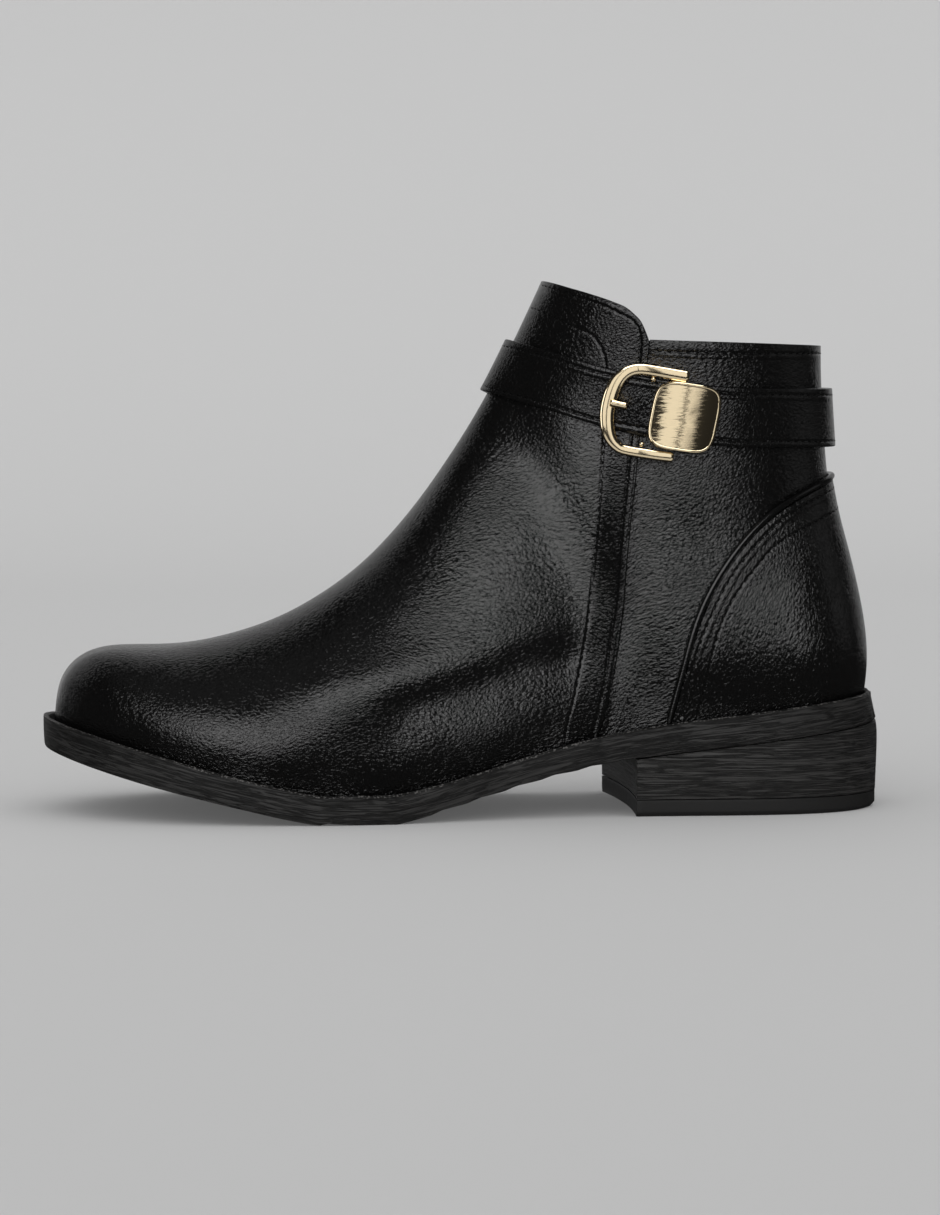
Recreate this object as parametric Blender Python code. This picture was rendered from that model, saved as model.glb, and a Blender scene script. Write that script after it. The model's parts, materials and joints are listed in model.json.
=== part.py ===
"""Left ankle boot with a block heel, a wrapped ankle strap and a plate buckle, built piece by piece.

Sizes are in millimetres and become metres when a mesh is made. A place on the boot is given
by its distance from the back of the heel, towards the toe, and by its height above the floor.
The toe points along -X, the outer (lateral) side faces -Y and +Z is up.
"""

import math

import bmesh
import bpy
import numpy as np

MM = 0.001

# Driving sizes
TOE_END = 264.0  # foremost point of the upper
TOE_SWING = 5.0  # how far the toe curves towards the inner side
TOE_ROUND_LENGTH = 66.0  # length over which the toe rounds off, seen from above
TOE_ROUND_POWERS = (2.2, 2.1)
WALL = 1.8  # leather and lining together
PANEL_STEP = 0.8  # the front panel lies this much proud of the quarters
CLEARANCE = 0.3  # gap between pieces that meet
SEAT_GAP = 0.5  # filler between the seat of the sole and what stands on it
LIP_HEIGHT = 2.2  # rim of the sole above that seat
LIP_GAP = 1.7  # crevice between the upper and the rim
LIP_ROUND = 0.4
SOLE_EDGE_ROUND = 1.0
INSOLE_THICKNESS = 3.0
INSOLE_ROUND = 0.8
INSOLE_GAP = 0.8  # from its edge to the upper's lining
STRAP_WIDTH = 18.6
STRAP_THICKNESS = 2.1
STRAP_GAP = 0.5  # the strap wraps the shaft a little loosely
COUNTER_THICKNESS = 1.1
COUNTER_GAP = 0.4
PIPING_RADIUS = 1.0
HEEL_BREAST = 81.5  # front face of the heel at its outer corner
HEEL_BREAST_SKEW = 3.0  # the inner corner stands this much further forward
HEEL_BREAST_HOLLOW = 2.0
HEEL_MIDDLE = 38.0
TOP_PIECE_HEIGHT = 5.2
TOP_PIECE_INSET = 0.1
TOP_PIECE_ROUND = 1.4

# Sides of the heel: share of its height, and how far they swell there
HEEL_SWELL = ((1.0, 0.0), (0.8, 0.45), (0.4, 0.3), (0.0, 0.0))

# Sole along its length: height of the bottom, and of the edge from bottom to rim
SOLE_COLUMNS = ("from_heel", "bottom", "edge")
SOLE = (
    (0.0, 28.0, 9.4),
    (41.0, 23.1, 9.5),
    (82.0, 18.2, 9.4),
    (107.0, 13.4, 8.8),
    (130.0, 7.2, 8.6),
    (145.0, 2.8, 8.9),
    (157.0, 0.0, 9.2),
    (180.0, 0.0, 9.2),
    (200.0, 3.9, 9.3),
    (218.0, 8.0, 9.7),
    (236.0, 12.3, 10.2),
    (252.0, 16.5, 10.3),
    (267.0, 20.6, 9.9),
)

# How far the sole's edge stands outside the upper's lower edge
LEDGE_COLUMNS = ("from_heel", "at_rim", "at_bottom")
LEDGE = (
    (0.0, 3.0, 5.0),
    (40.0, 3.0, 3.9),
    (82.0, 3.0, 3.4),
    (150.0, 3.1, 3.4),
    (264.0, 3.2, 3.2),
)

# Front outline of the upper from the toe, over the vamp and instep, to above the collar
PROFILE_COLUMNS = ("from_heel", "height")
PROFILE = (
    (264.0, 26.0),
    (263.6, 32.5),
    (261.6, 42.0),
    (256.0, 48.5),
    (247.5, 51.6),
    (234.0, 52.3),
    (219.0, 53.5),
    (204.5, 56.7),
    (188.5, 62.9),
    (172.5, 72.9),
    (156.5, 87.7),
    (140.5, 108.4),
    (128.0, 128.2),
    (115.5, 152.5),
    (108.2, 167.9),
    (104.0, 177.0),
)
COLLAR_FRONT = (108.2, 167.9)

# Sections of the last: each runs from a core point to a point of the front outline.
# Core heights of None lie on the upper's lower edge. Half-widths are at the core, and a
# bulge is how far the wall swells a third of the way up.
SECTION_COLUMNS = (
    "outline", "core", "core_height", "lateral", "medial",
    "lateral_bulge", "medial_bulge", "round_m", "round_n",
)
SECTIONS = (
    (264.0, 264.0, None, 38.5, 39.5, 0.4, 0.4, 2.5, 2.3),
    (236.0, 236.0, None, 40.0, 40.0, 0.8, 0.8, 2.4, 2.2),
    (210.0, 210.0, None, 41.2, 40.8, 1.2, 1.2, 2.2, 2.05),
    (185.0, 185.0, None, 42.0, 40.3, 1.5, 1.5, 2.1, 2.0),
    (163.0, 161.0, None, 40.6, 36.6, 1.5, 2.5, 2.0, 2.0),
    (146.0, 140.0, None, 37.0, 31.0, 1.5, 4.0, 2.0, 2.0),
    (134.0, 118.0, None, 33.2, 27.8, 1.4, 4.6, 2.0, 2.0),
    (127.5, 96.0, None, 30.4, 27.4, 1.0, 3.2, 2.0, 2.0),
    (122.5, 77.0, None, 29.2, 28.6, 0.4, 0.8, 2.1, 2.05),
    (118.0, 71.5, 55.0, 31.0, 31.0, 0.0, 0.0, 2.2, 2.1),
    (114.0, 68.0, 95.0, 30.2, 30.2, 0.0, 0.0, 2.2, 2.15),
    (110.8, 66.0, 130.0, 31.0, 31.0, 0.0, 0.0, 2.2, 2.2),
    (108.2, 65.0, 152.0, 32.0, 32.0, 0.0, 0.0, 2.2, 2.2),
    (104.0, 64.0, 172.0, 32.6, 32.6, 0.0, 0.0, 2.2, 2.2),
)
SHAFT_SECTIONS_FROM = 8  # from this row on the core climbs the shaft

# Back of the upper by height, with the roundness of the sections there
BACK_COLUMNS = ("height", "from_heel", "round_m", "round_n")
BACK = (
    (30.0, 5.4, 4.6, 2.2),
    (47.8, 3.6, 4.2, 2.2),
    (63.4, 5.3, 3.5, 2.2),
    (79.0, 8.8, 2.9, 2.15),
    (94.6, 12.9, 2.5, 2.1),
    (108.0, 15.4, 2.3, 2.1),
    (120.0, 16.4, 2.2, 2.1),
    (137.0, 17.5, 2.2, 2.1),
    (152.0, 17.7, 2.2, 2.1),
)

# Edge of the front panel, where it laps the quarters, and the collar above it
SEAM_BOTTOM = (94.0, 24.0)
SEAM_TOP = (78.0, 149.2)
SEAM_STEP_RUN = 0.4  # width of the step down to the quarters
FLAP_CORNER_RADIUS = 8.5
FLAP_SLOPE = 0.36  # fall of the front collar towards the heel
COLLAR_BACK_HEIGHT = 147.4
RING_BUNCHING = 1.35  # keeps the rings at the sides low while they climb the vamp
TOE_BUNCHING = 1.25  # sets the rings closer together round the toe

# Middle line of the ankle strap
STRAP_COLUMNS = ("from_heel", "height")
STRAP = ((126.0, 141.6), (108.0, 136.4), (90.0, 131.0), (56.0, 125.6), (35.0, 124.8), (14.0, 124.4))

# Front edge of the heel counter, from the sole up to the back of the heel
COUNTER_EDGE_COLUMNS = ("ahead_of_back", "height")
COUNTER_EDGE = ((64.6, 28.0), (63.1, 40.0), (58.3, 57.0), (42.7, 79.0), (21.3, 95.8), (0.0, 104.6))
COUNTER_SHOULDER = 0.36  # share of that edge that stands up from the sole

# Buckle, laid out along the strap: the middle of its frame, and its tilt
BUCKLE_MIDDLE = (81.3, 127.6)
BUCKLE_TILT = math.radians(12.0)
FRAME_BAR_RADIUS = 1.6
FRAME_HALF_HEIGHT = 12.3  # middle of an arm above the buckle's middle
FRAME_FRONT = 8.3  # middle of the front bar
FRAME_ARM_END = -14.2
FRAME_CORNER = 9.5
FRAME_FRONT_BOW = 1.2
PRONG_RADIUS = 1.15
PRONG_FRONT = 9.7
PRONG_BACK = 3.4
PRONG_RISE = 0.5  # above the strap's middle
PRONG_LEVEL_SHARE = 0.35  # part of the prong that lies on the front bar
PLATE_MIDDLE = (-14.6, 0.0)
PLATE_HALF_SIDES = (10.3, 10.2)
PLATE_SQUARENESS = 4.2
PLATE_THICKNESS = 1.6
PLATE_CROWN = 0.8
PLATE_EDGE_ROUND = 0.4

# Mesh fineness
UPPER_RINGS = 22
PANEL_COLUMNS = 17
PANEL_BUNCHING = 0.45
QUARTER_COLUMNS = 11
SOLE_STEPS = 34
SOLE_SPINE = (32.0, 224.0)  # ends of the line that the sole's and insole's rings shrink to
DISC_MIDDLE = 0.55
HEEL_STEPS = 12
BREAST_STEPS = 8
STRAP_STEPS = 36
STRAP_ROWS = 3
COUNTER_STEPS = 16
COUNTER_ROWS = 7
PIPING_STEPS = 22
CORNER_STEPS = 7
ARM_STEPS = 5
PRONG_STEPS = 5
PLATE_STEPS = 40
PROFILE_SAMPLES = 1200
NORMAL_STEP = 2.0  # distance over which the shaft's slope under the buckle is read
SWELL_PEAK = 6.75  # makes a bulge's curve reach 1 a third of the way up
WELD = 0.02
SHARP_ANGLE = math.radians(40.0)
HALVINGS = 45  # steps of the search for the section through a point
LEAST_RISE = 0.01  # of the front outline above a section's core

BLACK_LEATHER = ((0.012, 0.012, 0.012), 0.36, 0.0)
BLACK_SOLE = ((0.02, 0.019, 0.018), 0.6, 0.0)
BLACK_LINING = ((0.03, 0.03, 0.03), 0.85, 0.0)
PALE_GOLD = ((0.86, 0.66, 0.38), 0.2, 1.0)

LATERAL = -1.0
MEDIAL = 1.0


# Curves through tables

def column(table, names, name):
    return np.array([row[names.index(name)] for row in table], float)


def smooth(places, values):
    """Natural cubic spline through the points, straight beyond its ends."""
    order = np.argsort(places)
    x = np.asarray(places, float)[order]
    y = np.asarray(values, float)[order]
    step = np.diff(x)
    slope = np.diff(y) / step
    system = np.eye(len(x))
    target = np.zeros(len(x))
    for i in range(1, len(x) - 1):
        system[i, i - 1 : i + 2] = step[i - 1], 2 * (step[i - 1] + step[i]), step[i]
        target[i] = 6 * (slope[i] - slope[i - 1])
    bend = np.linalg.solve(system, target)
    first = slope[0] - step[0] * bend[1] / 6
    last = slope[-1] + step[-1] * bend[-2] / 6

    def value(at):
        at = np.asarray(at, float)
        inside = np.clip(at, x[0], x[-1])
        i = np.clip(np.searchsorted(x, inside) - 1, 0, len(step) - 1)
        a = (x[i + 1] - inside) / step[i]
        b = 1 - a
        curve = (a**3 - a) * bend[i] + (b**3 - b) * bend[i + 1]
        found = a * y[i] + b * y[i + 1] + curve * step[i] ** 2 / 6
        return found + np.minimum(at - x[0], 0) * first + np.maximum(at - x[-1], 0) * last

    return value


def level(places, values):
    """Cubic curve through the points that never overshoots, so equal heights stay flat."""
    x = np.asarray(places, float)
    y = np.asarray(values, float)
    step = np.diff(x)
    slope = np.diff(y) / step
    tangent = np.empty(len(x))
    tangent[0], tangent[-1] = slope[0], slope[-1]
    for i in range(1, len(x) - 1):
        same_way = slope[i - 1] * slope[i] > 0
        tangent[i] = 2 / (1 / slope[i - 1] + 1 / slope[i]) if same_way else 0.0

    def value(at):
        at = np.asarray(at, float)
        inside = np.clip(at, x[0], x[-1])
        i = np.clip(np.searchsorted(x, inside) - 1, 0, len(step) - 1)
        t = (inside - x[i]) / step[i]
        start = (1 + 2 * t) * (1 - t) ** 2 * y[i] + t * (1 - t) ** 2 * step[i] * tangent[i]
        end = t * t * (3 - 2 * t) * y[i + 1] + t * t * (t - 1) * step[i] * tangent[i + 1]
        beyond = np.minimum(at - x[0], 0) * tangent[0] + np.maximum(at - x[-1], 0) * tangent[-1]
        return start + end + beyond

    return value


def sole_column(name):
    return level(column(SOLE, SOLE_COLUMNS, "from_heel"), column(SOLE, SOLE_COLUMNS, name))


sole_bottom = sole_column("bottom")
sole_edge = sole_column("edge")


def rim_height(u):
    return sole_bottom(u) + sole_edge(u)


def seat_height(u):
    return rim_height(u) - LIP_HEIGHT


def lower_edge(u):
    """Height of the upper's lower edge, just above the seat of the sole."""
    return seat_height(u) + SEAT_GAP


def ledge(u, name):
    return smooth(column(LEDGE, LEDGE_COLUMNS, "from_heel"), column(LEDGE, LEDGE_COLUMNS, name))(u)


def middle_line(u):
    """Sideways place of the boot's middle, which swings inwards towards the toe."""
    ahead = np.maximum(np.asarray(u, float) - TOE_END / 2, 0) / (TOE_END / 2)
    return TOE_SWING * ahead**2


# Front outline and sections of the last

profile_u = column(PROFILE, PROFILE_COLUMNS, "from_heel")
profile_z = column(PROFILE, PROFILE_COLUMNS, "height")
profile_run = np.concatenate([[0], np.cumsum(np.hypot(np.diff(profile_u), np.diff(profile_z)))])
run_samples = np.linspace(0, profile_run[-1], PROFILE_SAMPLES)
outline_u = smooth(profile_run, profile_u)(run_samples)
outline_z = smooth(profile_run, profile_z)(run_samples)
COLLAR_RUN = float(np.interp(-COLLAR_FRONT[0], -outline_u, run_samples))


def outline_height(u):
    return np.interp(-np.asarray(u, float), -outline_u, outline_z)


def outline_point(run):
    """Point of the front outline at a distance along it from the toe."""
    return np.interp(run, run_samples, outline_u), np.interp(run, run_samples, outline_z)


section_at = column(SECTIONS, SECTION_COLUMNS, "outline")
core_from_heel = column(SECTIONS, SECTION_COLUMNS, "core")
core_heights = np.array([
    lower_edge(row[1]) if row[2] is None else row[2] for row in SECTIONS
])


def section_column(name):
    return smooth(section_at, column(SECTIONS, SECTION_COLUMNS, name))


section_core = smooth(section_at, core_from_heel)
section_core_height = smooth(section_at, core_heights)
section_widths = {LATERAL: section_column("lateral"), MEDIAL: section_column("medial")}
section_bulges = {LATERAL: section_column("lateral_bulge"), MEDIAL: section_column("medial_bulge")}
section_m = section_column("round_m")
section_n = section_column("round_n")

shaft_heights = core_heights[SHAFT_SECTIONS_FROM:]
shaft_core = smooth(shaft_heights, core_from_heel[SHAFT_SECTIONS_FROM:])
shaft_widths = {
    side: smooth(shaft_heights, column(SECTIONS, SECTION_COLUMNS, name)[SHAFT_SECTIONS_FROM:])
    for side, name in ((LATERAL, "lateral"), (MEDIAL, "medial"))
}

back_heights = column(BACK, BACK_COLUMNS, "height")
back_line = smooth(back_heights, column(BACK, BACK_COLUMNS, "from_heel"))
back_m = smooth(back_heights, column(BACK, BACK_COLUMNS, "round_m"))
back_n = smooth(back_heights, column(BACK, BACK_COLUMNS, "round_n"))


def toe_rounding(u):
    """Share of the half-width that is left as the toe rounds off, seen from above."""
    m, n = TOE_ROUND_POWERS
    inward = np.clip((TOE_END - u) / TOE_ROUND_LENGTH, 0, 1)
    return (1 - (1 - inward) ** m) ** (1 / n)


def section_through(u, z):
    """Place, on the front outline, of the section that passes through each point."""
    low = np.full(np.shape(u), section_at.min())
    high = np.full(np.shape(u), TOE_END)
    for _ in range(HALVINGS):
        at = (low + high) / 2
        core_u, core_z = section_core(at), section_core_height(at)
        turn = (at - core_u) * (z - core_z) - (outline_height(at) - core_z) * (u - core_u)
        high = np.where(turn > 0, at, high)
        low = np.where(turn > 0, low, at)
    return (low + high) / 2


def half_width(u, z, side):
    """Distance of the upper's outer face from its middle line, seen from the side at (u, z)."""
    u, z = np.broadcast_arrays(np.asarray(u, float), np.asarray(z, float))
    at = section_through(u, z)
    core_u, core_z = section_core(at), np.minimum(section_core_height(at), outline_height(at) - LEAST_RISE)
    along_u, along_z = at - core_u, outline_height(at) - core_z
    share = ((u - core_u) * along_u + (z - core_z) * along_z) / (along_u**2 + along_z**2)
    share = np.clip(share, 0, 1)
    closing = (1 - share ** section_m(at)) ** (1 / section_n(at))
    swell = SWELL_PEAK * share * (1 - share) ** 2
    front = section_widths[side](at) * toe_rounding(u) * closing + section_bulges[side](at) * swell
    behind = np.clip((shaft_core(z) - u) / (shaft_core(z) - back_line(z)), 0, 1)
    back = shaft_widths[side](z) * (1 - behind ** back_m(z)) ** (1 / back_n(z))
    return np.where(u > shaft_core(z), front, back)


def on_upper(u, z, side, closed=False):
    """Points of the upper's face; closed marks those on its front or back middle line."""
    width = np.where(closed, 0.0, half_width(u, z, side))
    return np.stack([-np.asarray(u, float), middle_line(u) + side * width, np.asarray(z, float)], -1)


def normals(grid, around=True):
    """Outward unit normals of a grid of points, whose columns may close on themselves."""
    if around:
        across = np.roll(grid, -1, 1) - np.roll(grid, 1, 1)
    else:
        across = np.gradient(grid, axis=1)
    up = np.gradient(grid, axis=0)
    found = np.cross(across, up)
    return found / np.linalg.norm(found, axis=-1, keepdims=True)


def all_round(lateral, medial):
    """Joins the columns of both sides, front to back and round again, without repeats."""
    return np.concatenate([lateral, medial[:, -2:0:-1]], axis=1)


# Meshes

def clear_scene():
    for obj in list(bpy.data.objects):
        bpy.data.objects.remove(obj)


def material(name, finish):
    found = bpy.data.materials.get(name)
    if found:
        return found
    colour, roughness, metallic = finish
    found = bpy.data.materials.new(name)
    found.use_nodes = True
    shader = found.node_tree.nodes["Principled BSDF"]
    shader.inputs["Base Color"].default_value = (*colour, 1.0)
    shader.inputs["Roughness"].default_value = roughness
    shader.inputs["Metallic"].default_value = metallic
    return found


def add_object(name, data, surface, finish):
    obj = bpy.data.objects.new(name, data)
    data.materials.append(material(surface, finish))
    collection.objects.link(obj)
    obj.parent = boot
    return obj


def loft(name, rows, surface, finish, closed_rows=False):
    """One closed solid from rings of points; rings that shrink to a line or a point close it."""
    mesh = bmesh.new()
    rings = [[mesh.verts.new(point * MM) for point in row] for row in rows]
    nexts = rings[1:] + rings[:1] if closed_rows else rings[1:]
    count = len(rings[0])
    for low, high in zip(rings, nexts):
        for i in range(count):
            j = (i + 1) % count
            mesh.faces.new((low[i], low[j], high[j], high[i]))
    bmesh.ops.remove_doubles(mesh, verts=mesh.verts, dist=WELD * MM)
    bmesh.ops.dissolve_degenerate(mesh, edges=mesh.edges, dist=WELD / 2 * MM)
    bmesh.ops.recalc_face_normals(mesh, faces=mesh.faces)
    data = bpy.data.meshes.new(name)
    mesh.to_mesh(data)
    mesh.free()
    data.shade_smooth()
    data.set_sharp_from_angle(angle=SHARP_ANGLE)
    return add_object(name, data, surface, finish)


def patch(name, outer, inner, surface, finish):
    """A bent sheet with four edges, closed all round, from its outer and inner faces."""
    columns = [np.concatenate([outer[:, i], inner[::-1, i]]) for i in range(outer.shape[1])]
    obj = loft(name, columns, surface, finish)
    cap_ends(obj, len(columns[0]))
    return obj


def cap_ends(obj, count):
    """Fills the two open ends that a run of closed sections leaves."""
    mesh = bmesh.new()
    mesh.from_mesh(obj.data)
    open_edges = [edge for edge in mesh.edges if edge.is_boundary]
    bmesh.ops.holes_fill(mesh, edges=open_edges, sides=count)
    bmesh.ops.recalc_face_normals(mesh, faces=mesh.faces)
    mesh.to_mesh(obj.data)
    mesh.free()


def tube(name, points, radius, surface, finish, sides=2):
    """A bar or cord of round section along the points."""
    curve = bpy.data.curves.new(name, "CURVE")
    curve.dimensions = "3D"
    curve.bevel_depth = radius * MM
    curve.bevel_resolution = sides
    curve.use_fill_caps = True
    spline = curve.splines.new("POLY")
    spline.points.add(len(points) - 1)
    for knot, point in zip(spline.points, points):
        knot.co = (*(point * MM), 1.0)
    return add_object(name, curve, surface, finish)


# Upper

def panel_shares():
    """Columns of the front panel, bunched at its middle line and at its free edge."""
    x = np.linspace(0, 1, PANEL_COLUMNS + 1)
    at_both_ends = (1 - np.cos(math.pi * x)) / 2
    at_middle_line = 1 - np.cos(math.pi * x / 2)
    return PANEL_BUNCHING * at_both_ends + (1 - PANEL_BUNCHING) * at_middle_line


def quarter_shares():
    return np.sin(math.pi / 2 * np.linspace(0, 1, QUARTER_COLUMNS + 1))


def seam_line(z):
    """Distance from the heel of the front panel's free edge, by height."""
    (bottom_u, bottom_z), (top_u, top_z) = SEAM_BOTTOM, SEAM_TOP
    return bottom_u + (top_u - bottom_u) * (z - bottom_z) / (top_z - bottom_z)


def flap_height(u):
    """Collar line of the front panel, with its round corner above the quarters."""
    front_u, front_z = COLLAR_FRONT
    inward = np.clip(FLAP_CORNER_RADIUS - (u - SEAM_TOP[0]), 0, FLAP_CORNER_RADIUS)
    drop = FLAP_CORNER_RADIUS - np.sqrt(FLAP_CORNER_RADIUS**2 - inward**2)
    return front_z - FLAP_SLOPE * (front_u - u) - drop


def flap_rise(shares):
    """How far the collar line stands above a straight one, from the front to the panel's edge."""
    u = COLLAR_FRONT[0] + (SEAM_TOP[0] - COLLAR_FRONT[0]) * shares
    return flap_height(u) - (COLLAR_FRONT[1] + (SEAM_TOP[1] - COLLAR_FRONT[1]) * shares)


def bent_line(start, end, shares, low_share):
    """A ring seen from the side: along the lower edge below, straight higher up."""
    u = start[0] + (end[0] - start[0]) * shares
    z = start[1] + (end[1] - start[1]) * shares
    ends = lower_edge(np.array([start[0], end[0]]))
    sag = lower_edge(u) - (ends[0] + (ends[1] - ends[0]) * shares)
    return u, z + low_share * sag


def upper_ring(t):
    """Side view of one ring of the upper, as panel and quarter parts, at a share of its height."""
    climb = t**RING_BUNCHING
    front = outline_point(COLLAR_RUN * t)
    front = (front[0], max(front[1], float(lower_edge(front[0]))))
    seam_foot = float(lower_edge(SEAM_BOTTOM[0]))
    seam_z = seam_foot + (SEAM_TOP[1] - seam_foot) * climb
    seam = (float(seam_line(seam_z)), seam_z)
    back_foot = float(lower_edge(back_line(back_heights[0])))
    back_z = back_foot + (COLLAR_BACK_HEIGHT - back_foot) * climb
    back = (float(back_line(back_z)), back_z)
    panel_u, panel_z = bent_line(front, seam, panel_shares(), 1 - t)
    panel_z = panel_z + t**4 * flap_rise(panel_shares())
    quarter_u, quarter_z = bent_line(seam, back, quarter_shares(), 1 - t)
    quarter_u = quarter_u - SEAM_STEP_RUN * (1 - quarter_shares())
    return (panel_u, panel_z), (quarter_u, quarter_z)


def upper_grid():
    """The upper's face as rings of points all round, and how far each column is set back."""
    lateral, medial = [], []
    for t in np.linspace(0, 1, UPPER_RINGS + 1) ** TOE_BUNCHING:
        panel, quarter = upper_ring(t)
        u = np.concatenate([panel[0], quarter[0]])
        z = np.concatenate([panel[1], quarter[1]])
        closed = np.zeros(len(u), bool)
        closed[[0, -1]] = True
        lateral.append(on_upper(u, z, LATERAL, closed))
        medial.append(on_upper(u, z, MEDIAL, closed))
    grid = all_round(np.array(lateral), np.array(medial))
    set_back = np.repeat([0.0, PANEL_STEP], [PANEL_COLUMNS + 1, QUARTER_COLUMNS + 1])
    return grid, np.concatenate([set_back, set_back[-2:0:-1]])


def build_upper():
    grid, set_back = upper_grid()
    outward = normals(grid)
    outer = grid - outward * set_back[None, :, None]
    inner = grid - outward * (PANEL_STEP + WALL)
    loft("upper", [*outer, *inner[::-1]], "black_leather", BLACK_LEATHER, closed_rows=True)


# Sole, heel and insole

def foot_outline():
    """The upper's lower edge seen from above, all round, with its outward directions."""
    shares = (1 - np.cos(math.pi * np.linspace(0, 1, SOLE_STEPS + 1))) / 2
    back_end = float(back_line(back_heights[0]))
    u = TOE_END + (back_end - TOE_END) * shares
    closed = np.zeros(len(u), bool)
    closed[[0, -1]] = True
    sides = [on_upper(u, lower_edge(u), side, closed)[None, :, :2] for side in (LATERAL, MEDIAL)]
    loop = all_round(*sides)[0]
    along = np.roll(loop, -1, 0) - np.roll(loop, 1, 0)
    outward = np.stack([along[:, 1], -along[:, 0]], -1)
    outward /= np.linalg.norm(outward, axis=1, keepdims=True)
    if np.sum(outward * (loop - loop.mean(0))) < 0:
        outward = -outward
    return loop, outward


def spine_of(loop):
    """The line that a disc's rings shrink to: the same for both sides at each place."""
    half = len(loop) // 2
    u = -loop[:, 0]
    paired = u.copy()
    paired[1:half] = (u[1:half] + u[:half:-1]) / 2
    paired[half + 1 :] = paired[half - 1 : 0 : -1]
    paired = np.clip(paired, *SOLE_SPINE)
    return np.stack([-paired, middle_line(paired)], -1)


def disc_row(loop, spine, share, height):
    """One ring of a disc, at a share of the way from its spine to its outline."""
    flat = spine + (loop - spine) * share
    return np.column_stack([flat, height(-flat[:, 0])])


def build_outsole():
    loop, outward = foot_outline()
    u = -loop[:, 0]
    spine = spine_of(loop)
    at_rim = ledge(u, "at_rim")[:, None]
    at_bottom = ledge(u, "at_bottom")[:, None]

    def edge_row(offset, height):
        flat = loop + outward * offset
        return np.column_stack([flat, height(-flat[:, 0])])

    lip_foot = loop + outward * LIP_GAP
    bottom_edge = loop + outward * (at_bottom - SOLE_EDGE_ROUND / 2)
    rows = [
        disc_row(lip_foot, spine, 0.0, seat_height),
        disc_row(lip_foot, spine, DISC_MIDDLE, seat_height),
        edge_row(LIP_GAP, seat_height),
        edge_row(LIP_GAP, lambda at: rim_height(at) - LIP_ROUND),
        edge_row((LIP_GAP + at_rim) / 2, rim_height),
        edge_row(at_rim, lambda at: rim_height(at) - LIP_ROUND),
        edge_row(at_rim + LIP_ROUND / 2, lambda at: rim_height(at) - 3 * LIP_ROUND),
        edge_row(at_bottom, lambda at: sole_bottom(at) + SOLE_EDGE_ROUND),
        disc_row(bottom_edge, spine, 1.0, sole_bottom),
        disc_row(bottom_edge, spine, DISC_MIDDLE, sole_bottom),
        disc_row(bottom_edge, spine, 0.0, sole_bottom),
    ]
    loft("outsole", rows, "black_sole", BLACK_SOLE)


def build_insole():
    loop, outward = foot_outline()
    edge = loop - outward * (WALL + PANEL_STEP + INSOLE_GAP)
    top_edge = edge - outward * INSOLE_ROUND / 2
    spine = spine_of(loop)

    def top(u):
        return lower_edge(u) + INSOLE_THICKNESS

    rows = [
        disc_row(top_edge, spine, 0.0, top),
        disc_row(top_edge, spine, DISC_MIDDLE, top),
        disc_row(top_edge, spine, 1.0, top),
        disc_row(edge, spine, 1.0, lambda u: top(u) - INSOLE_ROUND),
        disc_row(edge, spine, 1.0, lower_edge),
        disc_row(edge, spine, DISC_MIDDLE, lower_edge),
        disc_row(edge, spine, 0.0, lower_edge),
    ]
    loft("insole", rows, "black_lining", BLACK_LINING)


def heel_loop(offset):
    """The heel's outline seen from above: round behind, with a hollow front face."""
    loop, outward = foot_outline()
    wide = loop + outward * (ledge(-loop[:, 0], "at_bottom")[:, None] + offset)
    u = -wide[:, 0]
    half = len(wide) // 2
    corners = {LATERAL: HEEL_BREAST, MEDIAL: HEEL_BREAST + HEEL_BREAST_SKEW}
    sides = []
    for side, places in ((LATERAL, slice(0, half + 1)), (MEDIAL, slice(half, None))):
        side_u, side_y = u[places], wide[places, 1]
        if side == MEDIAL:
            side_u, side_y = side_u[::-1], side_y[::-1]
        shares = np.sin(math.pi / 2 * np.linspace(0, 1, HEEL_STEPS + 1))
        place = corners[side] + (u[half] - corners[side]) * shares
        sides.append(np.column_stack([-place, np.interp(place, side_u[::-1], side_y[::-1])]))
    round_back = np.concatenate([sides[0], sides[1][-2::-1]])
    across = np.linspace(0, 1, BREAST_STEPS + 1)[1:-1]
    breast = sides[1][0] + (sides[0][0] - sides[1][0]) * across[:, None]
    breast[:, 0] += HEEL_BREAST_HOLLOW * 4 * across * (1 - across)
    return np.concatenate([round_back, breast])


def heel_disc(name, levels):
    """A piece of the heel from outlines at several heights, closed above and below."""
    rows = []
    middle = np.array([[-HEEL_MIDDLE, 0.0]])
    for offset, share, height in levels:
        flat = middle + (heel_loop(offset) - middle) * share
        rows.append(np.column_stack([flat, height(-flat[:, 0])]))
    loft(name, rows, "black_sole", BLACK_SOLE)


def build_heel():
    def top(u):
        return sole_bottom(u) - CLEARANCE

    def foot(u):
        return np.full(np.shape(u), TOP_PIECE_HEIGHT + CLEARANCE)

    def part_way(share):
        return lambda u: foot(u) + (top(u) - foot(u)) * share

    upper_cap = [(0.0, 0.0, top), (0.0, DISC_MIDDLE, top)]
    lower_cap = [(0.0, DISC_MIDDLE, foot), (0.0, 0.0, foot)]
    sides = [(swell, 1.0, part_way(share)) for share, swell in HEEL_SWELL]
    heel_disc("heel", upper_cap + sides + lower_cap)


def build_top_piece():
    def at(height):
        return lambda u: np.full(np.shape(u), height)

    levels = [
        (-TOP_PIECE_INSET, 0.0, at(TOP_PIECE_HEIGHT)),
        (-TOP_PIECE_INSET, 1.0, at(TOP_PIECE_HEIGHT)),
        (-TOP_PIECE_INSET, 1.0, at(TOP_PIECE_ROUND)),
        (-TOP_PIECE_ROUND, 1.0, at(0.0)),
        (-TOP_PIECE_ROUND, 0.0, at(0.0)),
    ]
    heel_disc("heel_top_piece", levels)


# Strap, counter and piping

strap_line = smooth(column(STRAP, STRAP_COLUMNS, "from_heel"), column(STRAP, STRAP_COLUMNS, "height"))


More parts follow.
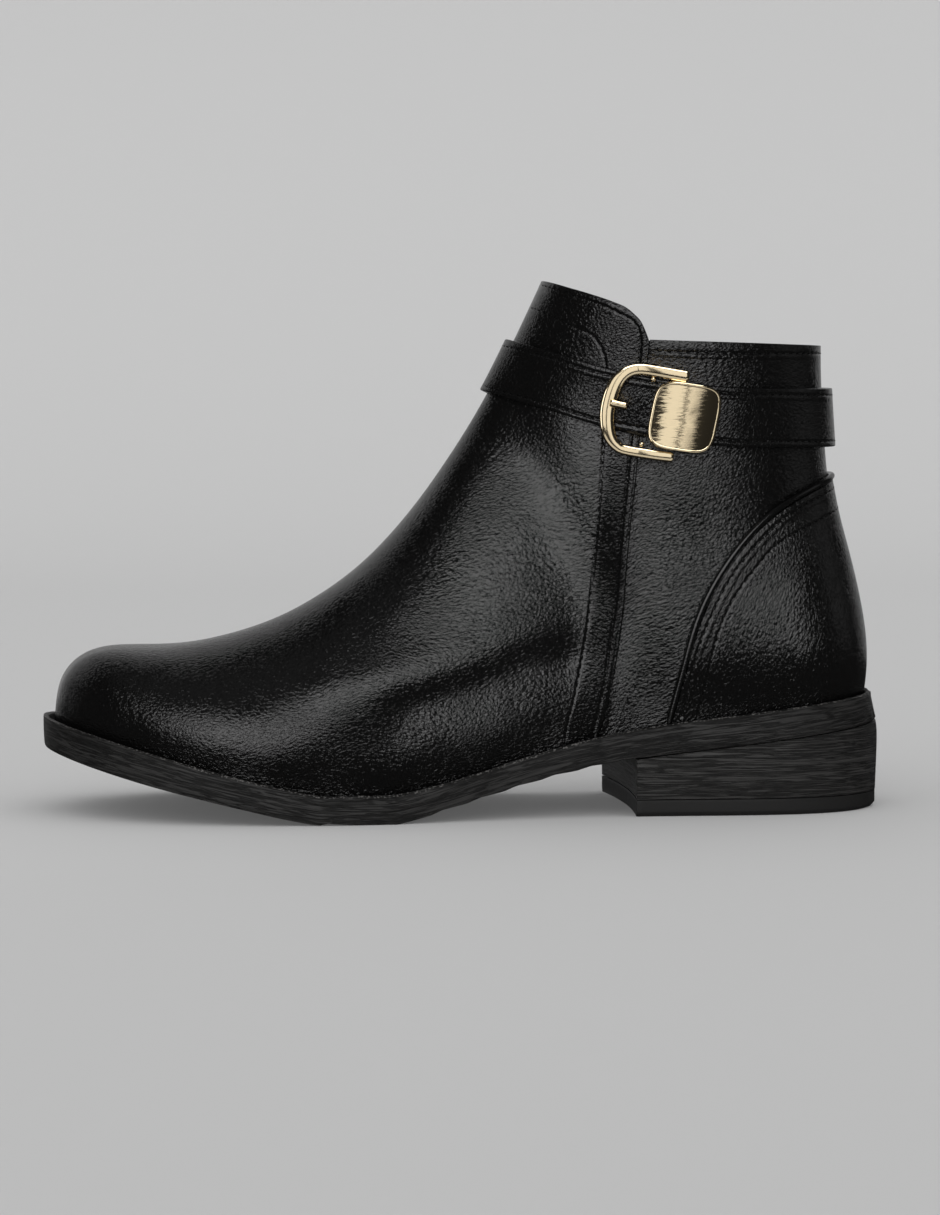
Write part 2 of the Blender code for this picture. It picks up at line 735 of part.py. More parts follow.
def strap_row(rise):
    """Side view of one line along the strap, at a height above its middle line."""
    gap = outline_z - (strap_line(outline_u) + rise)
    start_u = float(np.interp(0.0, gap, outline_u))
    heights = np.linspace(back_heights[0], COLLAR_BACK_HEIGHT, PROFILE_SAMPLES)
    behind = heights - (strap_line(back_line(heights)) + rise)
    end_u = float(back_line(np.interp(0.0, behind, heights)))
    shares = (1 - np.cos(math.pi * np.linspace(0, 1, STRAP_STEPS + 1))) / 2
    u = start_u + (end_u - start_u) * shares
    return u, strap_line(u) + rise


def build_strap():
    lateral, medial = [], []
    for rise in np.linspace(-STRAP_WIDTH / 2, STRAP_WIDTH / 2, STRAP_ROWS + 1):
        u, z = strap_row(rise)
        closed = np.zeros(len(u), bool)
        closed[[0, -1]] = True
        lateral.append(on_upper(u, z, LATERAL, closed))
        medial.append(on_upper(u, z, MEDIAL, closed))
    grid = all_round(np.array(lateral), np.array(medial))
    outward = normals(grid)
    inner = grid + outward * STRAP_GAP
    outer = grid + outward * (STRAP_GAP + STRAP_THICKNESS)
    loft("strap", [*outer, *inner[::-1]], "black_leather", BLACK_LEATHER, closed_rows=True)


def counter_edge(run):
    """Front edge of the counter, as places ahead of the back, from the sole to the back itself."""
    ahead = column(COUNTER_EDGE, COUNTER_EDGE_COLUMNS, "ahead_of_back")
    z = column(COUNTER_EDGE, COUNTER_EDGE_COLUMNS, "height")
    length = np.concatenate([[0], np.cumsum(np.hypot(np.diff(ahead), np.diff(z)))])
    at = run * length[-1]
    return smooth(length, ahead)(at), smooth(length, z)(at)


def towards_back(start, steps):
    """Shares from a start to the back of the heel, bunched there."""
    return start + (1 - start) * np.sin(math.pi / 2 * np.linspace(0, 1, steps + 1))


def round_the_back(rows):
    """Rows of places ahead of the back, ending on it, laid on both sides of the upper."""
    sides = {LATERAL: [], MEDIAL: []}
    for ahead, z in rows:
        closed = np.zeros(len(z), bool)
        closed[-1] = True
        u = back_line(z) + np.where(closed, 0.0, ahead)
        for side in sides:
            sides[side].append(on_upper(u, z, side, closed))
    return np.concatenate([np.array(sides[LATERAL]), np.array(sides[MEDIAL])[:, -2::-1]], axis=1)


def counter_grid():
    """The quarters' face under the counter, from the sole up to its edge."""
    across = towards_back(0.0, COUNTER_STEPS)
    top, top_z = counter_edge(towards_back(COUNTER_SHOULDER, COUNTER_STEPS))
    foot = float(counter_edge(0.0)[0]) * (1 - across)
    foot_z = lower_edge(back_line(back_heights[0]) + foot) + CLEARANCE
    rows = []
    for share in np.linspace(0, 1, COUNTER_ROWS + 1):
        front, front_z = counter_edge(COUNTER_SHOULDER * share)
        bow = front - (foot[0] + (top[0] - foot[0]) * share)
        bow_z = front_z - (foot_z[0] + (top_z[0] - foot_z[0]) * share)
        ahead = foot + (top - foot) * share + bow * (1 - across)
        z = foot_z + (top_z - foot_z) * share + bow_z * (1 - across)
        rows.append((ahead, z))
    return round_the_back(rows)


def build_counter():
    grid = counter_grid()
    outward = normals(grid, around=False)
    inner = grid + outward * (COUNTER_GAP - PANEL_STEP)
    outer = inner + outward * COUNTER_THICKNESS
    patch("heel_counter", outer, inner, "black_leather", BLACK_LEATHER)


def build_piping():
    """A rolled bead along the counter's front edge, on the face of the quarters."""
    all_runs = np.linspace(0, 1, PROFILE_SAMPLES)
    ahead, z = counter_edge(all_runs)
    above_rim = z - (rim_height(back_line(z) + ahead) + CLEARANCE)
    ahead, z = counter_edge(towards_back(np.interp(0.0, above_rim, all_runs), PIPING_STEPS))
    slope, slope_z = np.gradient(ahead), np.gradient(z)
    slope[-1], slope_z[-1] = -1.0, 0.0
    size = np.hypot(slope, slope_z)
    shift = PIPING_RADIUS + CLEARANCE
    ahead = ahead + slope_z / size * shift
    z = z - slope / size * shift
    grid = round_the_back([(ahead, z + rise) for rise in (-PIPING_RADIUS, 0.0, PIPING_RADIUS)])
    lift = CLEARANCE + PIPING_RADIUS - PANEL_STEP
    points = (grid + normals(grid, around=False) * lift)[1]
    tube("counter_piping", points, PIPING_RADIUS, "black_leather", BLACK_LEATHER, sides=1)


# Buckle

def on_strap(along, rise, lift):
    """Points over the strap's outer side: along it towards the toe, across it, and off it."""
    along, rise, lift = np.broadcast_arrays(*(np.asarray(v, float) for v in (along, rise, lift)))
    tilt = BUCKLE_TILT
    u = BUCKLE_MIDDLE[0] + along * math.cos(tilt) - rise * math.sin(tilt)
    z = BUCKLE_MIDDLE[1] + along * math.sin(tilt) + rise * math.cos(tilt)
    point = on_upper(u, z, LATERAL)
    forward = on_upper(u + NORMAL_STEP, z, LATERAL) - on_upper(u - NORMAL_STEP, z, LATERAL)
    upward = on_upper(u, z + NORMAL_STEP, LATERAL) - on_upper(u, z - NORMAL_STEP, LATERAL)
    outward = np.cross(upward, forward)
    outward /= np.linalg.norm(outward, axis=-1, keepdims=True)
    outward *= np.sign(-outward[..., 1:2])
    return point + outward * (lift[..., None] + STRAP_GAP + STRAP_THICKNESS)


def buckle_frame_path():
    """Middle of the frame's bar: two arms joined by a bowed front bar with round corners."""
    turn = np.linspace(0, math.pi / 2, CORNER_STEPS + 1)
    corner_along = FRAME_FRONT - FRAME_CORNER + FRAME_CORNER * np.sin(turn)
    corner_rise = FRAME_HALF_HEIGHT - FRAME_CORNER + FRAME_CORNER * np.cos(turn)
    arm = np.linspace(FRAME_ARM_END, FRAME_FRONT - FRAME_CORNER, ARM_STEPS + 1)[:-1]
    along = np.concatenate([arm, corner_along])
    rise = np.concatenate([np.full(len(arm), FRAME_HALF_HEIGHT), corner_rise])
    bow = FRAME_FRONT_BOW * np.clip(1 - (rise / FRAME_HALF_HEIGHT) ** 2, 0, 1)
    along = along + np.where(along > FRAME_FRONT - FRAME_CORNER, bow, 0)
    return np.concatenate([along, along[::-1]]), np.concatenate([rise, -rise[::-1]])


def build_buckle_frame():
    along, rise = buckle_frame_path()
    frame = on_strap(along, rise, CLEARANCE + FRAME_BAR_RADIUS)
    tube("buckle_frame", frame, FRAME_BAR_RADIUS, "pale_gold", PALE_GOLD)


def build_buckle_prong():
    """The pin's end: it lies on the front bar and dips to the strap behind it."""
    over_bar = CLEARANCE + 2 * FRAME_BAR_RADIUS + CLEARANCE + PRONG_RADIUS
    over_strap = CLEARANCE + PRONG_RADIUS
    reach = np.linspace(0, 1, PRONG_STEPS + 1)
    along = PRONG_FRONT + (PRONG_BACK - PRONG_FRONT) * reach
    dip = np.maximum(reach - PRONG_LEVEL_SHARE, 0) / (1 - PRONG_LEVEL_SHARE)
    prong = on_strap(along, PRONG_RISE, over_bar + (over_strap - over_bar) * dip)
    tube("buckle_prong", prong, PRONG_RADIUS, "pale_gold", PALE_GOLD)


def build_buckle_plate():
    """A crowned plate of rounded square outline, over the strap behind the frame."""
    turn = np.linspace(0, 2 * math.pi, PLATE_STEPS, endpoint=False)
    power = 2 / PLATE_SQUARENESS
    edge_along = PLATE_HALF_SIDES[0] * np.sign(np.cos(turn)) * np.abs(np.cos(turn)) ** power
    edge_rise = PLATE_HALF_SIDES[1] * np.sign(np.sin(turn)) * np.abs(np.sin(turn)) ** power
    under, over = CLEARANCE, CLEARANCE + PLATE_THICKNESS
    bevel = 1 - PLATE_EDGE_ROUND / PLATE_HALF_SIDES[0]
    levels = (
        (0.0, over + PLATE_CROWN),
        (DISC_MIDDLE, over + PLATE_CROWN * (1 - DISC_MIDDLE**2)),
        (bevel, over),
        (1.0, over - PLATE_EDGE_ROUND),
        (1.0, under + PLATE_EDGE_ROUND),
        (bevel, under),
        (DISC_MIDDLE, under),
        (0.0, under),
    )
    rows = [
        on_strap(PLATE_MIDDLE[0] + edge_along * share, PLATE_MIDDLE[1] + edge_rise * share, height)
        for share, height in levels
    ]
    loft("buckle_plate", rows, "pale_gold", PALE_GOLD)


def centre_boot():
    """Sets the boot down with the middle of its box over the origin."""
    bpy.context.view_layer.update()
    graph = bpy.context.evaluated_depsgraph_get()
    corners = []
    for obj in collection.objects:
        if obj.type != "EMPTY":
            shape = obj.evaluated_get(graph).to_mesh()
            corners.extend(vertex.co.copy() for vertex in shape.vertices)
    corners = np.array(corners)
    low, high = corners.min(0), corners.max(0)
    boot.location = (-(low[0] + high[0]) / 2, -(low[1] + high[1]) / 2, -low[2])


clear_scene()
collection = bpy.data.collections.new("ankle_boot")
bpy.context.scene.collection.children.link(collection)
boot = bpy.data.objects.new("boot", None)
collection.objects.link(boot)
build_upper()
build_outsole()
build_insole()
build_heel()
build_top_piece()
build_strap()
build_counter()
build_piping()
build_buckle_frame()
build_buckle_prong()
build_buckle_plate()
centre_boot()
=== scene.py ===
import json
import math

import bmesh
import bpy
import numpy as np
from mathutils import Matrix, Vector, noise
from mathutils.bvhtree import BVHTree

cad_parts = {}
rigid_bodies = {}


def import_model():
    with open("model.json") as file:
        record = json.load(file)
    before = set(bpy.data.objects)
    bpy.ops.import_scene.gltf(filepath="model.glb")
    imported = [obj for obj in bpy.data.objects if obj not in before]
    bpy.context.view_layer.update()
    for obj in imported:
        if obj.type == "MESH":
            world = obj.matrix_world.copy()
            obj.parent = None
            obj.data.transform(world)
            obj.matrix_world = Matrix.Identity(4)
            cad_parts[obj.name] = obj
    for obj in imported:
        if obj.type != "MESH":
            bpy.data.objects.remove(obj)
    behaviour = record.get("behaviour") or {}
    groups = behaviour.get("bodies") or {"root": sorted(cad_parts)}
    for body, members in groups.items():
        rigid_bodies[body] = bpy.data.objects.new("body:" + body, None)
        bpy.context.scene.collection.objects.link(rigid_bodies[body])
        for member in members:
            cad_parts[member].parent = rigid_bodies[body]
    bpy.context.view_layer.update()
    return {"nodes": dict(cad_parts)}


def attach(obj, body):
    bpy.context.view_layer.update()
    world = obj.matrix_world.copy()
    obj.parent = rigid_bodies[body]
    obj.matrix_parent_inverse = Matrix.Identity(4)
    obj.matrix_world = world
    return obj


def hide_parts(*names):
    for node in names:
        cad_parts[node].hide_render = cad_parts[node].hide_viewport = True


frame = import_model()
nodes = frame["nodes"]
mm = 0.001
heelBack = 133.758  # places are in mm: forward of this line at the heel, and up from the floor
outer, inner = -1.0, 1.0  # the two sides of the boot, by the sign of Y
outside = 0.2  # metres to the side or below, clear of the boot


# small helpers for working in object and edit mode
def deselectAll():
    for item in bpy.context.selected_objects:
        item.select_set(False)


def makeActive(piece):
    deselectAll()
    piece.select_set(True)
    bpy.context.view_layer.objects.active = piece


def editAll(piece):
    makeActive(piece)
    bpy.ops.object.mode_set(mode="EDIT")
    bpy.ops.mesh.select_all(action="SELECT")


def objectMode():
    bpy.ops.object.mode_set(mode="OBJECT")


def addObject(name, data):
    item = bpy.data.objects.new(name, data)
    bpy.context.scene.collection.objects.link(item)
    return item


def readPoints(piece, field="co"):
    points = np.empty(len(piece.data.vertices) * 3)
    piece.data.vertices.foreach_get(field, points)
    return points.reshape(-1, 3)


def writePoints(piece, points):
    piece.data.vertices.foreach_set("co", np.asarray(points, float).ravel())
    piece.data.update()


def storeVectors(piece, name, vectors):
    attribute = piece.data.attributes.new(name, "FLOAT_VECTOR", "POINT")
    attribute.data.foreach_set("vector", vectors.astype(np.float32).ravel())


def fromHeel(points):
    return heelBack - points[..., 0] / mm, points[..., 2] / mm


def finishPiece(piece, material, slotName, *stoodFor):
    if material:
        piece.data.materials.clear()
        piece.data.materials.append(material)
    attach(piece, "root")
    if stoodFor:
        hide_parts(*stoodFor)
    return piece


# copies of the frame's nodes, made into clean quads and rounded
quadSet = {
    "mostFold": 0.5, "noAngle": 9.0, "join": 0.7, "fanEdges": 8,  # angles in radians, edges that make a fan
    "weld": 0.00002, "smoothAngle": 50,  # metres, degrees
}


def tipOf(face, edge):
    return next(v for v in face.verts if v not in edge.verts)


def pairTriangles(piece):
    mesh = bmesh.new()
    mesh.from_mesh(piece.data)
    noAngle = quadSet["noAngle"]

    def squareness(edge):
        if len(edge.link_faces) != 2 or edge.calc_face_angle(noAngle) > quadSet["mostFold"]:
            return noAngle
        far = [tipOf(face, edge) for face in edge.link_faces]
        reach = [[end.co - v.co for end in edge.verts] for v in far]
        return max(abs(pair[0].angle(pair[1], noAngle) - math.pi / 2) for pair in reach)

    def across(edge, face):
        return next((other for other in edge.link_faces if other is not face), None)

    def atFan(face):
        return any(len(v.link_edges) > quadSet["fanEdges"] for v in face.verts)

    start = min(mesh.edges, key=squareness)
    diagonals, paired = [], set()
    waiting = [(start, start.link_faces[0])]
    while waiting:
        diagonal, face = waiting.pop()
        other = across(diagonal, face)
        if other is None or face in paired or other in paired or atFan(face) or atFan(other):
            continue
        paired |= {face, other}
        diagonals.append(diagonal)
        for side in (face, other):
            corner = tipOf(side, diagonal)
            for edge in side.edges:
                beyond = across(edge, side)
                if edge is diagonal or beyond is None or beyond in paired:
                    continue
                tip = tipOf(beyond, edge)
                found = next(e for e in beyond.edges if corner in e.verts and tip in e.verts)
                waiting.insert(0, (found, beyond))
    bmesh.ops.dissolve_edges(mesh, edges=diagonals, use_verts=False)
    mesh.to_mesh(piece.data)
    mesh.free()


def copyNode(nodeName, pieceName, rounding):
    piece = addObject(pieceName, nodes[nodeName].data.copy())
    piece.data.materials.clear()
    editAll(piece)
    bpy.ops.mesh.remove_doubles(threshold=quadSet["weld"])
    bpy.ops.mesh.customdata_custom_splitnormals_clear()
    objectMode()
    pairTriangles(piece)
    editAll(piece)
    bpy.ops.mesh.tris_convert_to_quads(face_threshold=quadSet["join"], shape_threshold=quadSet["join"])
    objectMode()
    roundOff(piece, *rounding)
    return piece


def selectSharp(piece, angle):
    editAll(piece)
    bpy.ops.mesh.select_mode(type="EDGE")
    bpy.ops.mesh.select_all(action="DESELECT")
    bpy.ops.mesh.edges_select_sharp(sharpness=math.radians(angle))


def addRounding(piece, levels):
    makeActive(piece)
    modifier = piece.modifiers.new("rounding", "SUBSURF")
    modifier.levels = levels
    modifier.render_levels = levels
    bpy.ops.object.modifier_apply(modifier="rounding")


def roundOff(piece, levels, sharp, rounding, segments=2, passes=3):
    selectSharp(piece, sharp)
    bpy.ops.transform.edge_crease(value=1.0)
    objectMode()
    aim = readPoints(piece)
    cage = aim.copy()
    for _ in range(passes):  # lets the round surface run through the frame's own points
        trial = addObject("trial", piece.data.copy())
        writePoints(trial, cage)
        addRounding(trial, levels)
        cage = cage + (aim - readPoints(trial)[: len(aim)])
        bpy.data.objects.remove(trial)
    writePoints(piece, cage)
    addRounding(piece, levels)
    if rounding:
        selectSharp(piece, sharp)
        bpy.ops.mesh.bevel(offset=rounding * mm, segments=segments, affect="EDGES", clamp_overlap=True)
        objectMode()
    makeActive(piece)
    bpy.ops.object.shade_smooth_by_angle(angle=math.radians(quadSet["smoothAngle"]))


# camera at the photograph's viewing angle
cameraSet = {"turn": -5.0, "away": 1.1, "aside": 0.0026, "height": 0.148, "tilt": 4.38, "lens": 102.01,
             "sensor": 36, "sight": 50}


def makeCamera():
    turn, tilt = math.radians(cameraSet["turn"]), math.radians(cameraSet["tilt"])
    right = Vector((math.cos(turn), math.sin(turn), 0))
    back = Vector((math.sin(turn), -math.cos(turn), 0))
    ahead = -back * math.cos(tilt) - Vector((0, 0, math.sin(tilt)))
    up = right.cross(ahead)
    place = back * cameraSet["away"] + right * cameraSet["aside"] + Vector((0, 0, cameraSet["height"]))
    data = bpy.data.cameras.new("camera")
    data.sensor_fit = "VERTICAL"
    data.sensor_height = cameraSet["sensor"]
    data.lens = cameraSet["lens"]
    data.clip_end = cameraSet["sight"]
    camera = addObject("camera", data)
    camera.matrix_world = Matrix((
        (right.x, up.x, -ahead.x, place.x),
        (right.y, up.y, -ahead.y, place.y),
        (right.z, up.z, -ahead.z, place.z),
        (0, 0, 0, 1),
    ))
    bpy.context.scene.camera = camera


makeCamera()
print("camera placed")


# small helpers for materials
def put(tree, kind, inputs=None, **settings):
    node = tree.nodes.new(kind)
    for key, value in settings.items():
        setattr(node, key, value)
    for key, value in (inputs or {}).items():
        if isinstance(value, bpy.types.NodeSocket):
            tree.links.new(value, node.inputs[key])
        else:
            node.inputs[key].default_value = value
    return node


def maths(tree, operation, *values):
    return put(tree, "ShaderNodeMath", dict(enumerate(values)), operation=operation).outputs[0]


def vectorMaths(tree, operation, *values):
    return put(tree, "ShaderNodeVectorMath", dict(enumerate(values)), operation=operation).outputs[0]


def scaled(tree, vector, amount):
    return put(tree, "ShaderNodeVectorMath", {0: vector, "Scale": amount}, operation="SCALE").outputs[0]


def joinedXYZ(tree, **parts):
    return put(tree, "ShaderNodeCombineXYZ", parts).outputs[0]


def noiseAt(tree, place, scale, output="Fac", **more):
    return put(tree, "ShaderNodeTexNoise", {"Vector": place, "Scale": scale, **more}).outputs[output]


def mapRange(tree, value, start=0.0, end=1.0, low=0.0, high=1.0, kind="LINEAR"):
    ends = {"Value": value, "From Min": start, "From Max": end, "To Min": low, "To Max": high}
    return put(tree, "ShaderNodeMapRange", ends, interpolation_type=kind).outputs[0]


def blendTones(tree, share, low, high):
    return put(tree, "ShaderNodeMix", {0: share, 6: low, 7: high}, data_type="RGBA").outputs[2]


def attributeOf(tree, name, output):
    return put(tree, "ShaderNodeAttribute", attribute_name=name).outputs[output]


def objectPlace(tree):
    return put(tree, "ShaderNodeTexCoord").outputs["Object"]


def surfaceNormal(tree):
    return put(tree, "ShaderNodeNewGeometry").outputs["Normal"]


def leanBy(tree, facing, lean):
    return vectorMaths(tree, "NORMALIZE", vectorMaths(tree, "ADD", facing, lean))


def bumpBy(tree, height, strength=1.0, depth=1.0):  # depth in mm
    return put(tree, "ShaderNodeBump", {"Height": height, "Strength": strength, "Distance": depth * mm})


def newGroup(name, takes, gives):
    group = bpy.data.node_groups.new(name, "ShaderNodeTree")
    for label, kind in takes.items():
        group.interface.new_socket(label, in_out="INPUT", socket_type="NodeSocket" + kind)
    for label, kind in gives.items():
        group.interface.new_socket(label, in_out="OUTPUT", socket_type="NodeSocket" + kind)
    return group, put(group, "NodeGroupInput").outputs, put(group, "NodeGroupOutput").inputs


def newMaterial(name, colour, roughness, metallic=0.0, specular=0.5):
    material = bpy.data.materials.new(name)
    material.use_nodes = True
    shader = material.node_tree.nodes["Principled BSDF"]
    shader.inputs["Base Color"].default_value = (*colour, 1)
    shader.inputs["Roughness"].default_value = roughness
    shader.inputs["Metallic"].default_value = metallic
    shader.inputs["Specular IOR Level"].default_value = specular
    return material, material.node_tree, shader


# floor that sweeps up behind, and the studio lights
floorSet = {"side": 6.0, "back": 2.2, "rise": 3.0, "sweep": 1.2, "sweepSteps": 24, "cornerAngle": 60,
            "tone": 0.62, "roughness": 0.9, "specular": 0.1}
lightSet = {
    # name: direction from the boot (turn, height in degrees), distance, width, height,
    # strength on the leather, strength on the gold
    "keyLeft": (-24.2, 15.5, 1.75, 0.9, 1.27, 1.6, 0.95),
    "keyRight": (6.4, 15.5, 1.75, 0.74, 1.27, 1.6, 0.95),
    "sideFill": (78, 20, 1.8, 1.0, 1.4, 0.12, 0.01),
    "topFill": (-50, 74, 1.8, 1.4, 1.4, 0.07, 0.02),
    "backSoftbox": (180, 20, 1.6, 3.6, 1.6, 0.4, 0.5),
}
goldLights = {
    # near panels that only the rounded gold mirrors: place, aim, width, height, strength
    "goldBelow": ((0.05, -0.3, 0.004), (0.05, -0.3, 1.0), 0.6, 0.3, 0.6),
    "goldAbove": ((0.05, -0.4, 0.85), (0.06, 0.0, 0.12), 0.7, 0.5, 4.5),
    "goldBeside": ((-0.75, -0.3, 0.2), (0.06, -0.03, 0.12), 0.3, 0.5, 2.2),
}
floorLights = {"floorLight": (1.0, True), "floorFill": (1.7, False)}  # on the floor alone: strength, shadow
floorLean, floorSpread = 32, 140  # of those two, in degrees
aimAt = (-0.01, 0.0, 0.07)
worldTone = 0.02


def makeFloor():
    deselectAll()
    bpy.ops.mesh.primitive_plane_add(size=floorSet["side"])
    floor = bpy.context.active_object
    floor.name = "studioFloor"
    editAll(floor)
    bpy.ops.transform.translate(value=(0, floorSet["back"] - floorSet["side"] / 2, 0))
    bpy.ops.mesh.select_all(action="DESELECT")
    objectMode()
    for vertex in floor.data.vertices:
        vertex.select = vertex.co.y > 0
    bpy.ops.object.mode_set(mode="EDIT")
    bpy.ops.mesh.select_mode(type="EDGE")
    bpy.ops.mesh.extrude_region_move(TRANSFORM_OT_translate={"value": (0, 0, floorSet["rise"])})
    bpy.ops.mesh.select_all(action="DESELECT")
    bpy.ops.mesh.edges_select_sharp(sharpness=math.radians(floorSet["cornerAngle"]))
    bpy.ops.mesh.bevel(offset=floorSet["sweep"], segments=floorSet["sweepSteps"], affect="EDGES")
    objectMode()
    bpy.ops.object.shade_smooth()
    tone = (floorSet["tone"],) * 3
    pale = newMaterial("paleFloor", tone, floorSet["roughness"], specular=floorSet["specular"])[0]
    floor.data.materials.append(pale)
    floor.visible_glossy = False  # the leather mirrors the dark studio, not the pale floor
    floor.visible_shadow = False  # the softboxes reach below the floor's level
    return floor


def addLamp(name, place, aim, width, height, strength, receivers):
    data = bpy.data.lights.new(name, "AREA")
    data.shape = "RECTANGLE"
    data.size = width
    data.size_y = height
    data.energy = strength * math.pi * width * height
    lamp = addObject(name, data)
    lamp.location = place
    lamp.rotation_euler = (Vector(aim) - Vector(place)).to_track_quat("-Z", "Y").to_euler()
    lamp.visible_camera = False
    lamp.light_linking.receiver_collection = receivers


def makeLights(floor):
    for name, (turn, up, distance, width, height, strength, onGold) in lightSet.items():
        turn, up = math.radians(turn), math.radians(up)
        way = Vector((math.sin(turn) * math.cos(up), -math.cos(turn) * math.cos(up), math.sin(up)))
        place = Vector(aimAt) + way * distance
        addLamp(name, place, aimAt, width, height, strength, notLeather)
        addLamp(name + "OnGold", place, aimAt, width, height, onGold, goldPieces)
    for name, panel in goldLights.items():
        addLamp(name, *panel, roundGold)
    onlyFloor = bpy.data.collections.new("litByFloorLight")
    onlyFloor.objects.link(floor)
    for name, (strength, shadow) in floorLights.items():
        data = bpy.data.lights.new(name, "SUN")
        data.energy = strength
        data.angle = math.radians(floorSpread)
        data.use_shadow = shadow
        lamp = addObject(name, data)
        lamp.rotation_euler = (math.radians(floorLean), 0, 0)
        lamp.light_linking.receiver_collection = onlyFloor
    world = bpy.context.scene.world or bpy.data.worlds.new("studio")
    bpy.context.scene.world = world
    world.use_nodes = True
    world.node_tree.nodes["Background"].inputs["Color"].default_value = (worldTone, worldTone, worldTone, 1)
    bpy.context.scene.view_settings.view_transform = "Standard"


goldPieces = bpy.data.collections.new("goldPieces")
roundGold = bpy.data.collections.new("roundGold")
notLeather = bpy.data.collections.new("leftOutOfLeatherLight")
floor = makeFloor()
notLeather.objects.link(floor)
makeLights(floor)
print("floor and lights placed")


# effects that several materials share
grainSet = {"drift": 0.012, "driftScale": 34, "softness": 0.5, "pebbles": 0.6,
            "ridges": 1.6, "ridgeScale": 0.85, "ridgeTwist": 0.6, "patchScale": 30}
streakSet = {"roughness": 0.6, "twist": 0.9, "sharpTo": 0.09, "fineScale": 3.1, "fineShare": 0.5}


def leatherGrainGroup():
    group, takes, gives = newGroup(
        "leatherGrain",
        {"Vector": "Vector", "Cells": "Float", "Stretch": "Float", "Turn": "Float"},
        {"Height": "Float", "Patches": "Float"},
    )
    place = takes["Vector"]
    drift = noiseAt(group, place, grainSet["driftScale"], "Color", Detail=1)
    drift = vectorMaths(group, "SUBTRACT", drift, (0.5, 0.5, 0.5))
    moved = vectorMaths(group, "ADD", place, scaled(group, drift, grainSet["drift"]))
    turn = joinedXYZ(group, Y=takes["Turn"])
    turned = put(group, "ShaderNodeMapping", {"Vector": moved, "Rotation": turn}).outputs[0]
    squeeze = joinedXYZ(group, X=maths(group, "DIVIDE", 1.0, takes["Stretch"]), Y=1.0, Z=1.0)
    laid = vectorMaths(group, "MULTIPLY", turned, squeeze)
    values = {"Vector": laid, "Scale": takes["Cells"], "Smoothness": grainSet["softness"]}
    cells = put(group, "ShaderNodeTexVoronoi", values, feature="SMOOTH_F1")
    pebbles = maths(group, "SUBTRACT", 1.0, cells.outputs["Distance"])
    wider = maths(group, "MULTIPLY", takes["Cells"], grainSet["ridgeScale"])
    folds = noiseAt(group, laid, wider, Detail=2, Distortion=grainSet["ridgeTwist"])
    ridge = maths(group, "ABSOLUTE", maths(group, "SUBTRACT", folds, 0.5))
    pebbles = maths(group, "MULTIPLY", pebbles, grainSet["pebbles"])
    ridge = maths(group, "MULTIPLY", ridge, grainSet["ridges"])
    group.links.new(maths(group, "ADD", pebbles, ridge), gives["Height"])
    group.links.new(noiseAt(group, place, grainSet["patchScale"], Detail=2), gives["Patches"])
    return group


def stitchGrooveGroup():
    group, takes, gives = newGroup(
        "stitchGroove",
        {"Distance": "Float", "Width": "Float", "Depth": "Float", "Roll": "Float", "Puff": "Float"},
        {"Height": "Float"},
    )
    away = maths(group, "DIVIDE", maths(group, "ABSOLUTE", takes["Distance"]), takes["Width"])
    soft = mapRange(group, away, low=-1.0, high=0.0, kind="SMOOTHSTEP")
    sunk = maths(group, "MULTIPLY", soft, takes["Depth"])
    share = put(group, "ShaderNodeMath", {0: takes["Distance"], 1: takes["Roll"]},
                operation="DIVIDE", use_clamp=True).outputs[0]
    swell = maths(group, "MULTIPLY", share, maths(group, "SUBTRACT", 1.0, share))
    puffed = maths(group, "MULTIPLY", maths(group, "MULTIPLY", swell, 4.0), takes["Puff"])
    group.links.new(maths(group, "ADD", sunk, puffed), gives["Height"])
    return group


def stackedGrainGroup():
    group, takes, gives = newGroup(
        "stackedGrain",
        {"Vector": "Vector", "Lines": "Float", "Length": "Float"},
        {"Height": "Float", "Tone": "Float"},
    )
    squeeze = joinedXYZ(group, X=takes["Length"], Y=takes["Length"], Z=takes["Lines"])
    laid = vectorMaths(group, "MULTIPLY", takes["Vector"], squeeze)
    uneven = {"Roughness": streakSet["roughness"], "Distortion": streakSet["twist"]}
    lines = noiseAt(group, laid, 1.0, Detail=4, **uneven)
    ridge = maths(group, "ABSOLUTE", maths(group, "SUBTRACT", lines, 0.5))
    sharp = mapRange(group, ridge, end=streakSet["sharpTo"], kind="SMOOTHSTEP")
    fine = noiseAt(group, laid, streakSet["fineScale"], Detail=3)
    height = maths(group, "ADD", sharp, maths(group, "MULTIPLY", fine, streakSet["fineShare"]))
    group.links.new(height, gives["Height"])
    group.links.new(maths(group, "MULTIPLY", sharp, fine), gives["Tone"])
    return group


leatherGrain = leatherGrainGroup()
stitchGroove = stitchGrooveGroup()
stackedGrain = stackedGrainGroup()

leatherSet = {
    # name: cells per metre, stretch, turn in degrees, depth in mm, roughness
    "panelLeather": (1300, 1.6, 6, 0.19, 0.13),
    "quarterLeather": (1300, 1.6, 24, 0.2, 0.13),
    "counterLeather": (1300, 1.6, 66, 0.2, 0.13),
    "strapLeather": (1400, 1.4, 50, 0.15, 0.13),
    "pipingLeather": (1500, 1.0, 0, 0.03, 0.18),
}
leatherTone, leatherShine, patchiness = (0.0055, 0.0053, 0.0052), 0.85, 0.05
grooveSet = {"Width": 0.9, "Depth": 0.2, "Roll": 2.0, "Puff": 0.15}
flatSeams = ("panelSeam", "counterInnerSeam")  # rows that lie away from an edge


